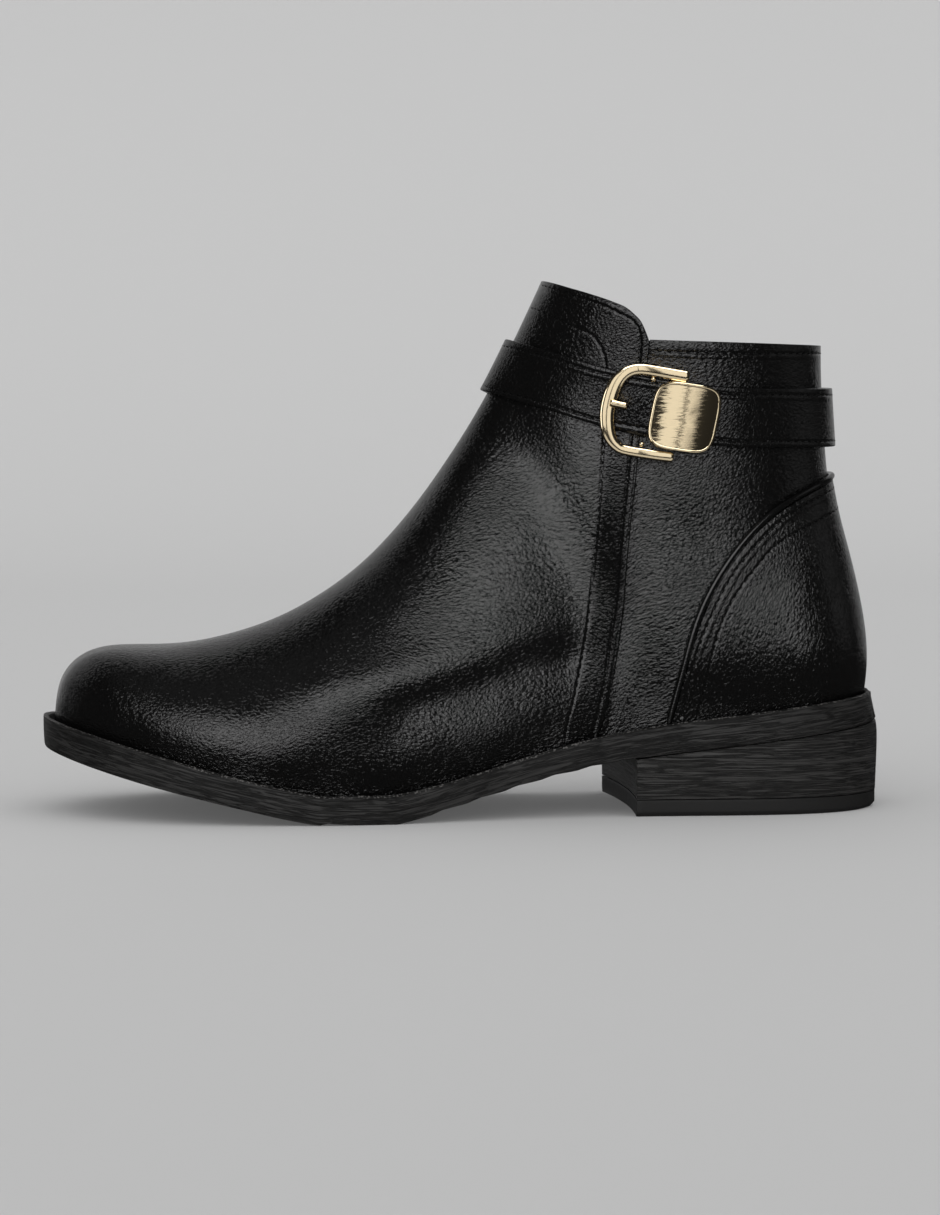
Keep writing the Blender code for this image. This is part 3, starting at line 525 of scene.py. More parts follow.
def leather(name, seams=(), leans=False):
    cells, stretch, turn, depth, roughness = leatherSet[name]
    material, tree, shader = newMaterial(name, leatherTone, roughness, specular=leatherShine)
    values = {"Vector": objectPlace(tree), "Cells": cells, "Stretch": stretch, "Turn": math.radians(turn)}
    grain = put(tree, "ShaderNodeGroup", values, node_tree=leatherGrain)
    height = maths(tree, "MULTIPLY", grain.outputs["Height"], depth)
    for seam in seams:
        values = {**grooveSet, "Distance": attributeOf(tree, seam, "Fac")}
        if seam in flatSeams:
            values["Puff"] = 0
        groove = put(tree, "ShaderNodeGroup", values, node_tree=stitchGroove)
        height = maths(tree, "ADD", height, groove.outputs["Height"])
    bump = bumpBy(tree, height)
    if leans:
        facing = leanBy(tree, surfaceNormal(tree), attributeOf(tree, "lean", "Vector"))
        tree.links.new(facing, bump.inputs["Normal"])
    tree.links.new(bump.outputs[0], shader.inputs["Normal"])
    rough = mapRange(tree, grain.outputs["Patches"], low=roughness - patchiness, high=roughness + patchiness)
    tree.links.new(rough, shader.inputs["Roughness"])
    return material


stackSet = {
    # name: lines per mm, length per mm, relief in mm, dark and light tones, roughness
    "soleEdge": (1.15, 0.05, 0.10, (0.011, 0.0107, 0.0104), (0.085, 0.083, 0.081), 0.45),
    "heelStack": (1.35, 0.04, 0.10, (0.014, 0.0137, 0.0133), (0.11, 0.107, 0.104), 0.45),
}
stackShine = 0.35
# painted highlight on the sole's rim: its tone, the upward facing over which it fades in, speck scale and
# speck share
rimHighlightSet = {"tone": (0.3, 0.29, 0.28), "rise": (0.25, 0.55), "highlightSpecks": 1.5, "share": (0.54, 0.62)}


def stackedLeather(name, attribute=None):
    lines, length, relief, dark, light, roughness = stackSet[name]
    material, tree, shader = newMaterial(name, dark, roughness, specular=stackShine)
    if attribute:
        place = attributeOf(tree, attribute, "Vector")
    else:
        place = scaled(tree, objectPlace(tree), 1 / mm)
    values = {"Vector": place, "Lines": lines, "Length": length}
    grain = put(tree, "ShaderNodeGroup", values, node_tree=stackedGrain)
    colour = blendTones(tree, grain.outputs["Tone"], (*dark, 1), (*light, 1))
    if attribute:  # painted highlight: pale specks where the rim's upper edge faces up and catches the light
        rise = put(tree, "ShaderNodeSeparateXYZ", {0: surfaceNormal(tree)}).outputs["Z"]
        onRim = mapRange(tree, rise, *rimHighlightSet["rise"])
        highlightSpecks = mapRange(tree, noiseAt(tree, place, rimHighlightSet["highlightSpecks"], Detail=1), *rimHighlightSet["share"])
        colour = blendTones(tree, maths(tree, "MULTIPLY", onRim, highlightSpecks), colour, (*rimHighlightSet["tone"], 1))
    tree.links.new(colour, shader.inputs["Base Color"])
    bump = bumpBy(tree, maths(tree, "MULTIPLY", grain.outputs["Height"], relief))
    tree.links.new(bump.outputs[0], shader.inputs["Normal"])
    return material


goldTone = (0.86, 0.71, 0.47)
fineSet = {
    # name: colour, metallic, specular, grains per metre, their detail,
    # strength and depth in mm of the bump, lowest and highest roughness
    "liningCloth": ((0.012, 0.012, 0.012), 0.0, 0.2, 1400, 3, 0.6, 0.2, 0.65, 0.95),
    "sockLeather": ((0.02, 0.02, 0.02), 0.0, 0.2, 900, 3, 0.6, 0.2, 0.65, 0.95),
    "polishedGold": (goldTone, 1.0, 0.5, 420, 2, 0.8, 0.012, 0.07, 0.17),
    "blackThread": ((0.003, 0.003, 0.003), 0.0, 0.15, 2600, 1, 0.5, 0.08, 0.65, 0.85),
    "topRubber": ((0.026, 0.0255, 0.025), 0.0, 0.35, 900, 3, 0.5, 0.1, 0.45, 0.65),
}
brushSet = {"squeeze": (0.12, 0.12, 1.0), "tilt": -8, "lines": 2400, "lineRoughness": 0.7, "lean": 0.38,
            "strength": 0.8, "depth": 0.01, "roughness": 0.12, "lowest": 0.1, "highest": 0.2}


def fineFinish(name):
    colour, metallic, specular, grains, detail, strength, depth, lowest, highest = fineSet[name]
    material, tree, shader = newMaterial(name, colour, (lowest + highest) / 2, metallic, specular)
    grain = noiseAt(tree, objectPlace(tree), grains, Detail=detail)
    tree.links.new(mapRange(tree, grain, low=lowest, high=highest), shader.inputs["Roughness"])
    tree.links.new(bumpBy(tree, grain, strength, depth).outputs[0], shader.inputs["Normal"])
    return material


def brushedFinish(name):
    material, tree, shader = newMaterial(name, goldTone, brushSet["roughness"], metallic=1.0)
    tilt = (0, math.radians(brushSet["tilt"]), 0)
    squeeze = put(tree, "ShaderNodeMapping",
                  {"Vector": objectPlace(tree), "Scale": brushSet["squeeze"], "Rotation": tilt}).outputs[0]
    lines = noiseAt(tree, squeeze, brushSet["lines"], Detail=3, Roughness=brushSet["lineRoughness"])
    rough = mapRange(tree, lines, low=brushSet["lowest"], high=brushSet["highest"])
    tree.links.new(rough, shader.inputs["Roughness"])
    bump = bumpBy(tree, lines, brushSet["strength"], brushSet["depth"])
    lean = maths(tree, "MULTIPLY", maths(tree, "SUBTRACT", lines, 0.5), brushSet["lean"])
    facing = leanBy(tree, bump.outputs[0], joinedXYZ(tree, X=lean))  # each line leans forward or back
    tree.links.new(facing, shader.inputs["Normal"])
    return material


finishes = {name: fineFinish(name) for name in fineSet}
finishes["brushedGold"] = brushedFinish("brushedGold")
print("materials ready")


# lines drawn on the boot as seen from the side, in mm forward of the heel and up
def smoothLine(knots, step):
    knots = np.asarray(knots, float)
    ends = np.vstack([2 * knots[0] - knots[1], knots, 2 * knots[-1] - knots[-2]])
    line = []
    for a, b, c, d in zip(ends, ends[1:], ends[2:], ends[3:]):
        count = max(2, int(np.linalg.norm(c - b) / step))
        t = np.linspace(0, 1, count, endpoint=False)[:, None]
        bend, twist = 2 * a - 5 * b + 4 * c - d, 3 * b - a - 3 * c + d
        line.append(0.5 * (2 * b + (c - a) * t + bend * t**2 + twist * t**3))
    return np.vstack([*line, knots[-1:]])


def runAlong(path):
    return np.concatenate([[0], np.cumsum(np.linalg.norm(np.diff(path, axis=0), axis=1))])


def markSeam(piece, name, line):
    forward, up = fromHeel(readPoints(piece))
    here = np.stack([forward, up], -1)
    nearest = np.full(len(here), np.inf)
    signed = np.zeros(len(here))
    for a, b in zip(line, line[1:]):
        along = b - a
        share = np.clip((here - a) @ along / (along @ along), 0, 1)
        gap = here - (a + share[:, None] * along)
        far = np.hypot(*gap.T)
        side = np.sign(along[0] * gap[:, 1] - along[1] * gap[:, 0])
        signed = np.where(far < nearest, far * np.where(side == 0, 1, side), signed)
        nearest = np.minimum(nearest, far)
    attribute = piece.data.attributes.new(name, "FLOAT", "POINT")
    attribute.data.foreach_set("value", signed.astype(np.float32))


def shapeTree(piece):
    return BVHTree.FromObject(piece, bpy.context.evaluated_depsgraph_get())


def touchSide(shape, forward, up, side):
    start = Vector(((heelBack - forward) * mm, side * outside, up * mm))
    return shape.ray_cast(start, Vector((0, -side, 0)))[:2]


def traceLine(shape, line, side):
    found = [touchSide(shape, forward, up, side) for forward, up in line]
    points, outward = zip(*(pair for pair in found if pair[0] is not None))
    return np.array(points), np.array(outward)


def traceRound(shape, line):  # along the outer side and back along the inner one
    there, back = traceLine(shape, line, outer), traceLine(shape, line[::-1], inner)
    return tuple(np.concatenate(pair) for pair in zip(there, back))


# one stitch, shaped from a cylinder and copied along each row
stitchSet = {"pitch": 2.9, "length": 2.15, "radius": 0.27, "sink": 0.12, "dip": 0.3, "sides": 6,
             "cuts": (-0.25, 0.25), "endFrom": 0.9, "endSlim": 0.45}


def oneStitch():
    deselectAll()
    length = stitchSet["length"] * mm
    bpy.ops.mesh.primitive_cylinder_add(vertices=stitchSet["sides"], radius=stitchSet["radius"] * mm,
                                        depth=length, rotation=(0, math.pi / 2, 0))
    stitch = bpy.context.active_object
    bpy.ops.object.transform_apply(rotation=True)
    editAll(stitch)
    for cut in stitchSet["cuts"]:
        bpy.ops.mesh.select_all(action="SELECT")
        bpy.ops.mesh.bisect(plane_co=(cut * length, 0, 0), plane_no=(1, 0, 0))
    objectMode()
    points = readPoints(stitch)
    reach = np.abs(points[:, 0]) / (length / 2)
    points[:, 1:] *= np.where(reach > stitchSet["endFrom"], stitchSet["endSlim"], 1.0)[:, None]
    points[:, 2] -= stitchSet["dip"] * mm * reach**3
    faces = [tuple(face.vertices) for face in stitch.data.polygons]
    bpy.data.objects.remove(stitch)
    return points, faces


stitchPoints, stitchFaces = oneStitch()


def sewRows(name, rows):
    points, faces = [], []
    for path, outward in rows:
        runs = runAlong(path)
        count = int(runs[-1] / (stitchSet["pitch"] * mm))
        middles = (np.arange(count) + 0.5) * runs[-1] / count
        reach = stitchSet["length"] / 2 * mm

        def at(run, of):
            return np.stack([np.interp(run, runs, of[:, axis]) for axis in range(3)], -1)

        front, back = at(middles + reach, path), at(middles - reach, path)
        ahead = front - back
        ahead /= np.linalg.norm(ahead, axis=1, keepdims=True)
        across = np.cross(at(middles, outward), ahead)
        across /= np.linalg.norm(across, axis=1, keepdims=True)
        up = np.cross(ahead, across)
        middle = (front + back) / 4 + at(middles, path) / 2
        for spot, a, b, c in zip(middle - up * stitchSet["sink"] * mm, ahead, across, up):
            base = len(points) * len(stitchPoints)
            points.append(spot + stitchPoints @ np.stack([a, b, c]))
            faces.extend(tuple(base + index for index in face) for face in stitchFaces)
    data = bpy.data.meshes.new(name)
    data.from_pydata(np.concatenate(points).tolist(), [], faces)
    data.update()
    piece = addObject(name, data)
    makeActive(piece)
    bpy.ops.object.shade_smooth()
    return finishPiece(piece, finishes["blackThread"], "black_leather")


# upper: front panel, quarters and lining in one
upperSeams = ("panelSeam", "edgeSeam", "collarSeam")
upperSet = {
    "round": (2, 42, 0.35),  # levels, angle of an edge, its rounding in mm
    "frameEdge": ((94.0, 24.0), (78.0, 149.2)),  # where the panel ends on the frame's node
    "panelEdge": ((94.0, 24.0), (92.6, 28.2), (90.9, 34.3), (89.0, 43.9), (87.8, 51.2), (86.0, 64.7),
                  (85.1, 78.3), (83.9, 91.1), (82.1, 107.0), (79.9, 130.0), (78.0, 149.2)),
    "edgeReach": 15.0, "edgeStep": 0.3,
    "panelSeam": ((103.9, 26.0), (103.1, 30.2), (100.8, 38.8), (98.5, 49.5), (96.7, 60.0), (95.3, 72.0),
                  (94.2, 84.7), (93.3, 95.9), (92.1, 111.8), (91.1, 128.0), (91.0, 139.9), (91.7, 145.0),
                  (94.3, 150.0), (96.7, 151.6), (102.3, 154.3), (109.4, 158.1), (113.5, 160.2)),
    "edgeSeam": ((95.1, 26.4), (93.5, 32.8), (91.6, 41.7), (89.7, 55.0), (88.2, 64.7), (86.7, 84.7),
                 (84.3, 107.0), (82.1, 130.0), (80.5, 147.2), (80.8, 151.0), (81.6, 153.6), (83.6, 155.7),
                 (86.3, 157.1), (90.7, 159.4), (95.2, 161.2), (101.0, 163.4), (106.5, 165.6), (110.0, 167.2)),
    "collarSeam": ((76.0, 145.7), (60.0, 145.2), (40.0, 145.0), (17.0, 145.0)),
    "sideGain": 1.4, "sideRun": 5.0,  # how soon the outer side's shaping sets in
    # soft forms in mm; a run fades in from its first place and out at its second, with each fade's length
    "fold": ((168.0, 31.5), (155.7, 34.5), (138.6, 38.8), (127.0, 42.7), (115.4, 47.0), (103.1, 49.4),
             (91.5, 52.5)),
    "foldDepth": 1.3, "foldWidths": (10.0, 6.5), "foldRun": ((90, 14), (166, 12)),  # widths below and above
    "ridgeRise": 10.0, "ridgeHeight": 1.1, "ridgeWidth": 9.0, "ridgeRun": ((100, 25), (180, 25)),
    "rim": ((95.0, 25.5), (130.0, 15.8), (157.0, 9.2), (180.0, 9.2), (218.0, 17.7), (252.0, 26.8),
            (264.0, 30.5)),
    "wallBulge": 1.3, "bulgeRise": 15.0, "bulgeWidths": (11.0, 16.0), "wallFrom": (100, 25),
    "wallTuck": 0.7, "tuckWidth": 6.0,
    "ball": ((171.0, 40.0, 1.3), (172.0, 20.0, -1.0)), "ballWidths": (17.0, 13.0),  # swell, then hollow
    "lapRise": 0.6, "lapPower": 1.5, "lapRun": ((30, 15), (120, 15)),
    "dents": 0.3, "dentSize": 0.026, "dentRun": ((26, 8), (112, 15)), "dentFrom": (96, 10),
    # slack, where the leather faces further down or back than the last does:
    # middle, reach each way, how far down and how far back
    "slack": (((171.0, 30.0), (17.0, 10.0), 0.26, 0.0), ((186.0, 21.0), (10.0, 7.0), 0.14, 0.0),
              ((167.0, 39.0), (13.0, 7.0), 0.13, 0.0), ((65.0, 95.0), (22.0, 9.0), 0.06, 0.0),
              ((103.0, 108.0), (11.0, 14.0), 0.0, 0.08), ((118.0, 119.0), (9.0, 9.0), 0.0, -0.14),
              ((92.0, 142.0), (45.0, 26.0), 0.06, 0.0), ((121.0, 104.0), (10.0, 9.0), -0.08, 0.0)),
    "foldSlack": (7.0, 6.0, 0.15), "foldSlackRun": ((98, 8), (170, 10)),  # rise, width, down
    "lapSlack": 0.2, "lapShare": ((0.0, 0.2), (1.02, 0.2)), "lapTop": (118, 10),
    # line inside the boot that the lining faces
    "core": {"shaft": 65.0, "back": 40.0, "toe": 235.0, "low": 32.0, "shaftFrom": 60.0, "shaftFront": 125.0},
}


def hump(away, width):
    return np.exp(-((away / width) ** 2))


def fadeIn(value, start, length):
    return np.clip((value - start) / length, 0, 1)


def between(value, run):
    (start, rise), (end, fall) = run
    return fadeIn(value, start, rise) * fadeIn(-value, -end, fall)


def lineAt(name, up):  # how far forward a line of the upper is at each height
    line = smoothLine(upperSet[name], 1.0)
    return np.interp(up, line[:, 1], line[:, 0])


def aboveFold(forward, up):
    line = smoothLine(upperSet["fold"], 2.0)[::-1]
    return up - np.interp(forward, line[:, 0], line[:, 1])


def onPanel(forward, up):
    return forward > lineAt("panelEdge", up) - upperSet["edgeStep"]


def acrossLap(forward, up):  # 0 at the panel's row of stitches, 1 at its edge
    seam = lineAt("panelSeam", up)
    return (seam - forward) / (seam - lineAt("panelEdge", up))


def lineInside(points, normals):
    core = upperSet["core"]
    forward, up = fromHeel(points)
    onShaft = (up > core["shaftFrom"]) & (forward < core["shaftFront"])
    coreForward = np.where(onShaft, core["shaft"], np.clip(forward, core["back"], core["toe"]))
    coreUp = np.where(onShaft, up, core["low"])
    away = np.stack([coreForward - forward, points[:, 1] / mm, up - coreUp], -1)
    return np.sum(away * normals, -1) < 0


def facingOut(points, normals):  # 1 on the boot's outer side, 0 on the other side and on the lining
    turned = np.clip(-normals[:, 1] * upperSet["sideGain"], 0, 1)
    return turned * np.clip(-points[:, 1] / (upperSet["sideRun"] * mm), 0, 1)


def slideEdge(upper):  # brings the panel's edge onto its own line
    points = readPoints(upper)
    forward, up = fromHeel(points)
    (footForward, footUp), (topForward, topUp) = upperSet["frameEdge"]
    was = footForward + (topForward - footForward) * (up - footUp) / (topUp - footUp)
    near = np.clip(1 - ((forward - was) / upperSet["edgeReach"]) ** 2, 0, 1) ** 2
    points[:, 0] -= (lineAt("panelEdge", up) - was) * near * mm
    writePoints(upper, points)


def crease(upper):  # the outer wall's swell, the soft fold along it and slight unevenness of the leather
    points, normals = readPoints(upper), readPoints(upper, "normal")
    forward, up = fromHeel(points)
    above = aboveFold(forward, up)
    low, high = upperSet["foldWidths"]
    fold = hump(above, np.where(above < 0, low, high)) * between(forward, upperSet["foldRun"])
    ridge = hump(above - upperSet["ridgeRise"], upperSet["ridgeWidth"])
    ridge *= between(forward, upperSet["ridgeRun"])
    depth = upperSet["ridgeHeight"] * ridge - upperSet["foldDepth"] * fold
    rimForward, rimUp = np.array(upperSet["rim"]).T
    rise = up - np.interp(forward, rimForward, rimUp)
    low, high = upperSet["bulgeWidths"]
    swell = rise - upperSet["bulgeRise"]
    bulge = upperSet["wallBulge"] * hump(swell, np.where(swell < 0, low, high))
    tuck = upperSet["wallTuck"] * hump(rise, upperSet["tuckWidth"])
    depth += (bulge - tuck) * fadeIn(forward, *upperSet["wallFrom"])
    wide, tall = upperSet["ballWidths"]
    for ahead, height, amount in upperSet["ball"]:
        depth += amount * hump(forward - ahead, wide) * hump(up - height, tall)
    lap = np.clip(acrossLap(forward, up), 0, 1) * onPanel(forward, up)
    depth += upperSet["lapRise"] * lap ** upperSet["lapPower"] * between(up, upperSet["lapRun"])
    depth *= facingOut(points, normals)
    dents = np.array([noise.noise(Vector(point) / upperSet["dentSize"]) for point in points])
    onFoot = between(up, upperSet["dentRun"]) * fadeIn(forward, *upperSet["dentFrom"])
    depth += upperSet["dents"] * dents * onFoot
    writePoints(upper, points + normals * depth[:, None] * mm)


def slackAt(forward, up, rows):
    fall, back = np.zeros((2, len(forward)))
    for (ahead, height), (wide, tall), down, rear in rows:
        near = hump(forward - ahead, wide) * hump(up - height, tall)
        fall += down * near
        back += rear * near
    return fall, back


def storeLean(piece, fall, back, share):
    storeVectors(piece, "lean", np.stack([back, 0 * back, -fall], -1) * share[:, None])


def leanOuterSide(piece, rows):
    points = readPoints(piece)
    storeLean(piece, *slackAt(*fromHeel(points), rows), points[:, 1] < 0)


def slacken(upper):  # soft leather hangs a little, so parts of the outer wall face down
    points, normals = readPoints(upper), readPoints(upper, "normal")
    forward, up = fromHeel(points)
    fall, back = slackAt(forward, up, upperSet["slack"])
    rise, width, down = upperSet["foldSlack"]
    fall += down * hump(aboveFold(forward, up) - rise, width) * between(forward, upperSet["foldSlackRun"])
    top, length = upperSet["lapTop"]
    onLap = between(acrossLap(forward, up), upperSet["lapShare"]) * fadeIn(-up, -top, length)
    fall = np.maximum(fall, upperSet["lapSlack"] * onLap)
    storeLean(upper, fall, back, facingOut(points, normals))


def makeUpper():
    upper = copyNode("upper", "upperLeather", upperSet["round"])
    slideEdge(upper)
    crease(upper)
    slacken(upper)
    for seam in upperSeams:
        markSeam(upper, seam, smoothLine(upperSet[seam], 1.5))
    middles = np.array([face.center for face in upper.data.polygons])
    normals = np.array([face.normal for face in upper.data.polygons])
    kinds = np.where(lineInside(middles, normals), 2, np.where(onPanel(*fromHeel(middles)), 0, 1))
    upper.data.materials.append(leather("panelLeather", ("panelSeam", "edgeSeam"), leans=True))
    upper.data.materials.append(leather("quarterLeather", ("collarSeam",), leans=True))
    upper.data.materials.append(finishes["liningCloth"])
    upper.data.polygons.foreach_set("material_index", kinds.astype(np.int32))
    return finishPiece(upper, None, "black_leather", "upper")


upper = makeUpper()
upperShape = shapeTree(upper)
print("upper rounded:", len(upper.data.polygons), "faces")

seamStep = 0.2  # mm between the points that a row of stitches follows
sewRows("upperStitches", [
    traceLine(upperShape, smoothLine(upperSet[seam], seamStep), side)
    for seam in upperSeams for side in (outer, inner)
])
print("upper sewn")


# strap
strapSet = {
    "round": (2, 42, 0.45, 3), "inset": 7.3, "markEvery": 6,  # round as on the upper, then segments
    "middle": ((128.0, 142.2), (126.0, 141.6), (108.0, 136.4), (90.0, 131.0), (56.0, 125.6), (35.0, 124.8),
               (14.0, 124.4), (10.0, 124.3)),
    # slack as on the upper
    "slack": (((108.0, 136.0), (8.0, 12.0), 0.0, -0.18), ((87.0, 122.0), (7.0, 6.0), 0.1, 0.0),
              ((45.0, 125.0), (6.0, 12.0), 0.0, 0.1), ((92.0, 130.0), (26.0, 20.0), 0.1, 0.0)),
}


def makeStrap():
    strap = copyNode("strap", "strapLeather", strapSet["round"])
    middle = smoothLine(strapSet["middle"], seamStep)
    lines = {"strapTopSeam": middle + (0, strapSet["inset"]), "strapLowSeam": middle - (0, strapSet["inset"])}
    for name, line in lines.items():
        markSeam(strap, name, line[::strapSet["markEvery"]])
    leanOuterSide(strap, strapSet["slack"])
    finishPiece(strap, leather("strapLeather", tuple(lines), leans=True), "black_leather", "strap")
    shape = shapeTree(strap)
    sewRows("strapStitches", [traceRound(shape, line) for line in lines.values()])
    return strap


strap = makeStrap()
print("strap wrapped and sewn")


# heel counter with its piping
counterSet = {
    "round": (2, 42, 0.35), "pipingRound": (2, 70, 0),  # as on the upper
    # slack as on the upper: the stiffened side turns late towards the back, and tucks in above the sole
    "slack": (((30.0, 60.0), (13.0, 60.0), 0.0, -0.17), ((35.0, 39.0), (45.0, 9.0), 0.24, 0.0)),
    "seams": {
        "counterEdgeSeam": ((67.4, 31.0), (65.2, 40.0), (60.8, 56.4), (50.2, 77.3), (33.6, 94.0),
                            (13.4, 102.6)),
        "counterInnerSeam": ((62.0, 31.5), (54.4, 61.6), (41.9, 80.2), (31.2, 88.3), (11.0, 96.6)),
    },
}


def makeCounter():
    counter = copyNode("heel_counter", "counterLeather", counterSet["round"])
    seams = counterSet["seams"]
    for name, knots in seams.items():
        markSeam(counter, name, smoothLine(knots, 1.5))
    leanOuterSide(counter, counterSet["slack"])
    finishPiece(counter, leather("counterLeather", tuple(seams), leans=True), "black_leather", "heel_counter")
    shape = shapeTree(counter)
    sewRows("counterStitches", [traceRound(shape, smoothLine(knots, seamStep)) for knots in seams.values()])
    piping = copyNode("counter_piping", "pipingBead", counterSet["pipingRound"])
    finishPiece(piping, leather("pipingLeather"), "black_leather", "counter_piping")


makeCounter()
print("counter sewn, piping laid")


# sole and heel
soleSet = {
    # round as on the upper, then segments and passes
    "soleRound": (2, 25, 0, 2, 1), "heelRound": (2, 42, 0.45),
    "topRound": (2, 30, 0.2), "sockRound": (1, 25, 0, 2, 1),
    "ends": 2.0, "places": 120, "reach": 6.0,  # where the sole's underside is measured along its length
}


def edgeGrainField(sole):  # places in mm, with heights from the underside, so that streaks follow it
    shape = shapeTree(nodes["outsole"])
    points = readPoints(sole)
    ends = soleSet["ends"] * mm
    places = np.linspace(points[:, 0].min() + ends, points[:, 0].max() - ends, soleSet["places"])
    floors = []
    for x in places:
        near = points[np.abs(points[:, 0] - x) < soleSet["reach"] * mm]
        middle = (near[:, 1].min() + near[:, 1].max()) / 2
        floors.append(shape.ray_cast(Vector((x, middle, -outside)), Vector((0, 0, 1)))[0].z)
    field = points / mm
    field[:, 2] -= np.interp(points[:, 0], places, floors) / mm
    return field


def makeSole():
    sole = copyNode("outsole", "outsoleStack", soleSet["soleRound"])
    storeVectors(sole, "edgeGrain", edgeGrainField(sole))
    finishPiece(sole, stackedLeather("soleEdge", "edgeGrain"), "black_sole", "outsole")
    heel = copyNode("heel", "heelStack", soleSet["heelRound"])
    finishPiece(heel, stackedLeather("heelStack"), "black_sole", "heel")
    top = copyNode("heel_top_piece", "heelTopRubber", soleSet["topRound"])
    finishPiece(top, finishes["topRubber"], "black_rubber", "heel_top_piece")
    sock = copyNode("insole", "insoleSock", soleSet["sockRound"])
    finishPiece(sock, finishes["sockLeather"], "black_lining", "insole")


makeSole()
print("sole, heel and insole done")


# buckle: bar, prong, plate and two rivets, shaped flat and laid onto the strap
buckleSet = {
    # middle of the bar in mm forward and up, with its half-width
    "bar": ((66.0, 137.6, 1.9), (75.3, 139.3, 1.8), (81.0, 140.1, 1.8), (84.6, 139.4, 1.85),
            (87.4, 137.4, 2.05), (89.4, 134.3, 2.3), (90.7, 130.4, 2.4), (91.4, 126.4, 2.35),
            (91.2, 122.1, 2.2), (90.2, 118.7, 1.9), (88.3, 116.3, 1.65), (85.6, 115.0, 1.55),
            (77.5, 113.6, 1.6), (70.6, 112.7, 1.6)),
    "barStep": 0.4, "barEnd": 0.9, "endThin": 0.75,  # length and share by which the arms' ends round off
    "sectionHeight": 0.54, "sectionSquare": 0.8, "under": 0.5, "sectionSteps": 19,  # cut flat below
    "barLift": 1.3, "frontLift": (82.0, 0.2),  # the front of the bar stands off the strap from here on
    "prong": ((90.7, 129.8), (85.4, 128.7)), "prongRadius": 1.2, "prongLift": (4.3, 3.6), "prongSides": 24,
    "prongRound": 0.55, "prongRoundSteps": 5, "prongFlat": 0.9, "prongClimb": 1.3,
    "plateMiddle": (67.4, 125.2), "plateHalf": (10.5, 10.7), "plateSquare": 4.0, "plateTilt": (8.5, 11.0),
    "plateSides": 72, "outlineSteps": 2000, "plateThick": 0.8, "faceThick": 0.25, "plateLift": 0.5,
    "plateDome": 2.0, "domeBack": 2.7, "domeFrom": 0.3,
    # steps of the rim, in and up
    "plateRim": ((0.08, 0.16), (0.16, 0.12), (0.26, 0.05), (0.26, -0.05), (0.14, -0.1), (0.1, -0.16)),
    "faceRings": (0.9, 0.86, 0.8, 0.72, 0.5), "ringInset": 0.002,
    "rivets": ((77.1, 137.0), (80.6, 116.8)), "rivetRadius": 0.8, "rivetLift": 1.1, "rivetSteps": (16, 10),
    "weld": 0.00001, "sharp": 60, "smoothAngle": 40,
    "fitFrom": 54, "fitTo": 98, "fitRises": (-7, -4, 0, 4, 7),  # stretch of the strap that the buckle lies on
    "fitMiddle": (76, 127), "fitReach": (20, 10),
}


def strapTerms(forward, up):
    a, b = ((np.asarray(value) - middle) / reach
            for value, middle, reach in zip((forward, up), buckleSet["fitMiddle"], buckleSet["fitReach"]))
    return np.stack([np.ones_like(a), a, b, a * a, a * b, a**3, a**4], -1)


def strapSurface():
    shape = shapeTree(strap)
    middle = smoothLine(strapSet["middle"], 0.5)
    rows = []
    for forward, up in middle[(middle[:, 0] > buckleSet["fitFrom"]) & (middle[:, 0] < buckleSet["fitTo"])]:
        for rise in buckleSet["fitRises"]:
            rows.append((forward, up + rise, touchSide(shape, forward, up + rise, outer)[0].y / mm))
    forward, up, across = np.array(rows).T
    terms = strapTerms(forward, up)
    fit = np.linalg.lstsq(terms, across, rcond=None)[0]
    print("strap fitted within", round(float(np.abs(terms @ fit - across).max()), 2), "mm")
    return fit


def layOnStrap(piece, lift):
    flat = readPoints(piece) / mm
    across = strapTerms(flat[:, 0], flat[:, 1]) @ strapFit - lift - flat[:, 2]
    writePoints(piece, np.stack([heelBack - flat[:, 0], across, flat[:, 1]], -1) * mm)
    editAll(piece)
    bpy.ops.mesh.normals_make_consistent(inside=False)
    objectMode()
    makeActive(piece)
    bpy.ops.object.shade_smooth_by_angle(angle=math.radians(buckleSet["smoothAngle"]))


def flatCurve(name, points, radii=None, closed=False):
    data = bpy.data.curves.new(name, "CURVE")
    data.dimensions = "2D"
    data.fill_mode = "NONE"
    run = data.splines.new("POLY")
    run.points.add(len(points) - 1)
    for index, (x, y) in enumerate(points):
        run.points[index].co = (x, y, 0, 1)
        run.points[index].radius = 1 if radii is None else radii[index]
    run.use_cyclic_u = closed
    return addObject(name, data)


def squaredCircle(turn, power):
    circle = np.stack([np.cos(turn), np.sin(turn)], -1)
    return np.sign(circle) * np.abs(circle) ** power


def makeBar():
    line = smoothLine(buckleSet["bar"], buckleSet["barStep"])
    runs = runAlong(line[:, :2])
    share = np.clip(np.minimum(runs, runs[-1] - runs) / buckleSet["barEnd"], 0, 1)
    radii = line[:, 2] * np.sqrt(1 - buckleSet["endThin"] * (1 - share) ** 2)
    under = buckleSet["under"]
    turn = np.linspace(-under, math.pi + under, buckleSet["sectionSteps"])
    section = squaredCircle(turn, buckleSet["sectionSquare"]) * (1, buckleSet["sectionHeight"])
    section = flatCurve("barSection", section * mm, closed=True)
    bar = flatCurve("buckleBar", line[:, :2] * mm, radii)
    bar.data.bevel_mode = "OBJECT"
    bar.data.bevel_object = section
    bar.data.use_fill_caps = True
    makeActive(bar)
    bpy.ops.object.convert(target="MESH")
    bpy.data.objects.remove(section)
    bar = bpy.context.active_object
    editAll(bar)
    bpy.ops.mesh.remove_doubles(threshold=buckleSet["weld"])
    objectMode()
    points = readPoints(bar)
    start, slope = buckleSet["frontLift"]
    points[:, 2] += slope * np.clip(points[:, 0] - start * mm, 0, None)
    writePoints(bar, points)
    layOnStrap(bar, buckleSet["barLift"])
    return finishPiece(bar, finishes["polishedGold"], "pale_gold", "buckle_frame")


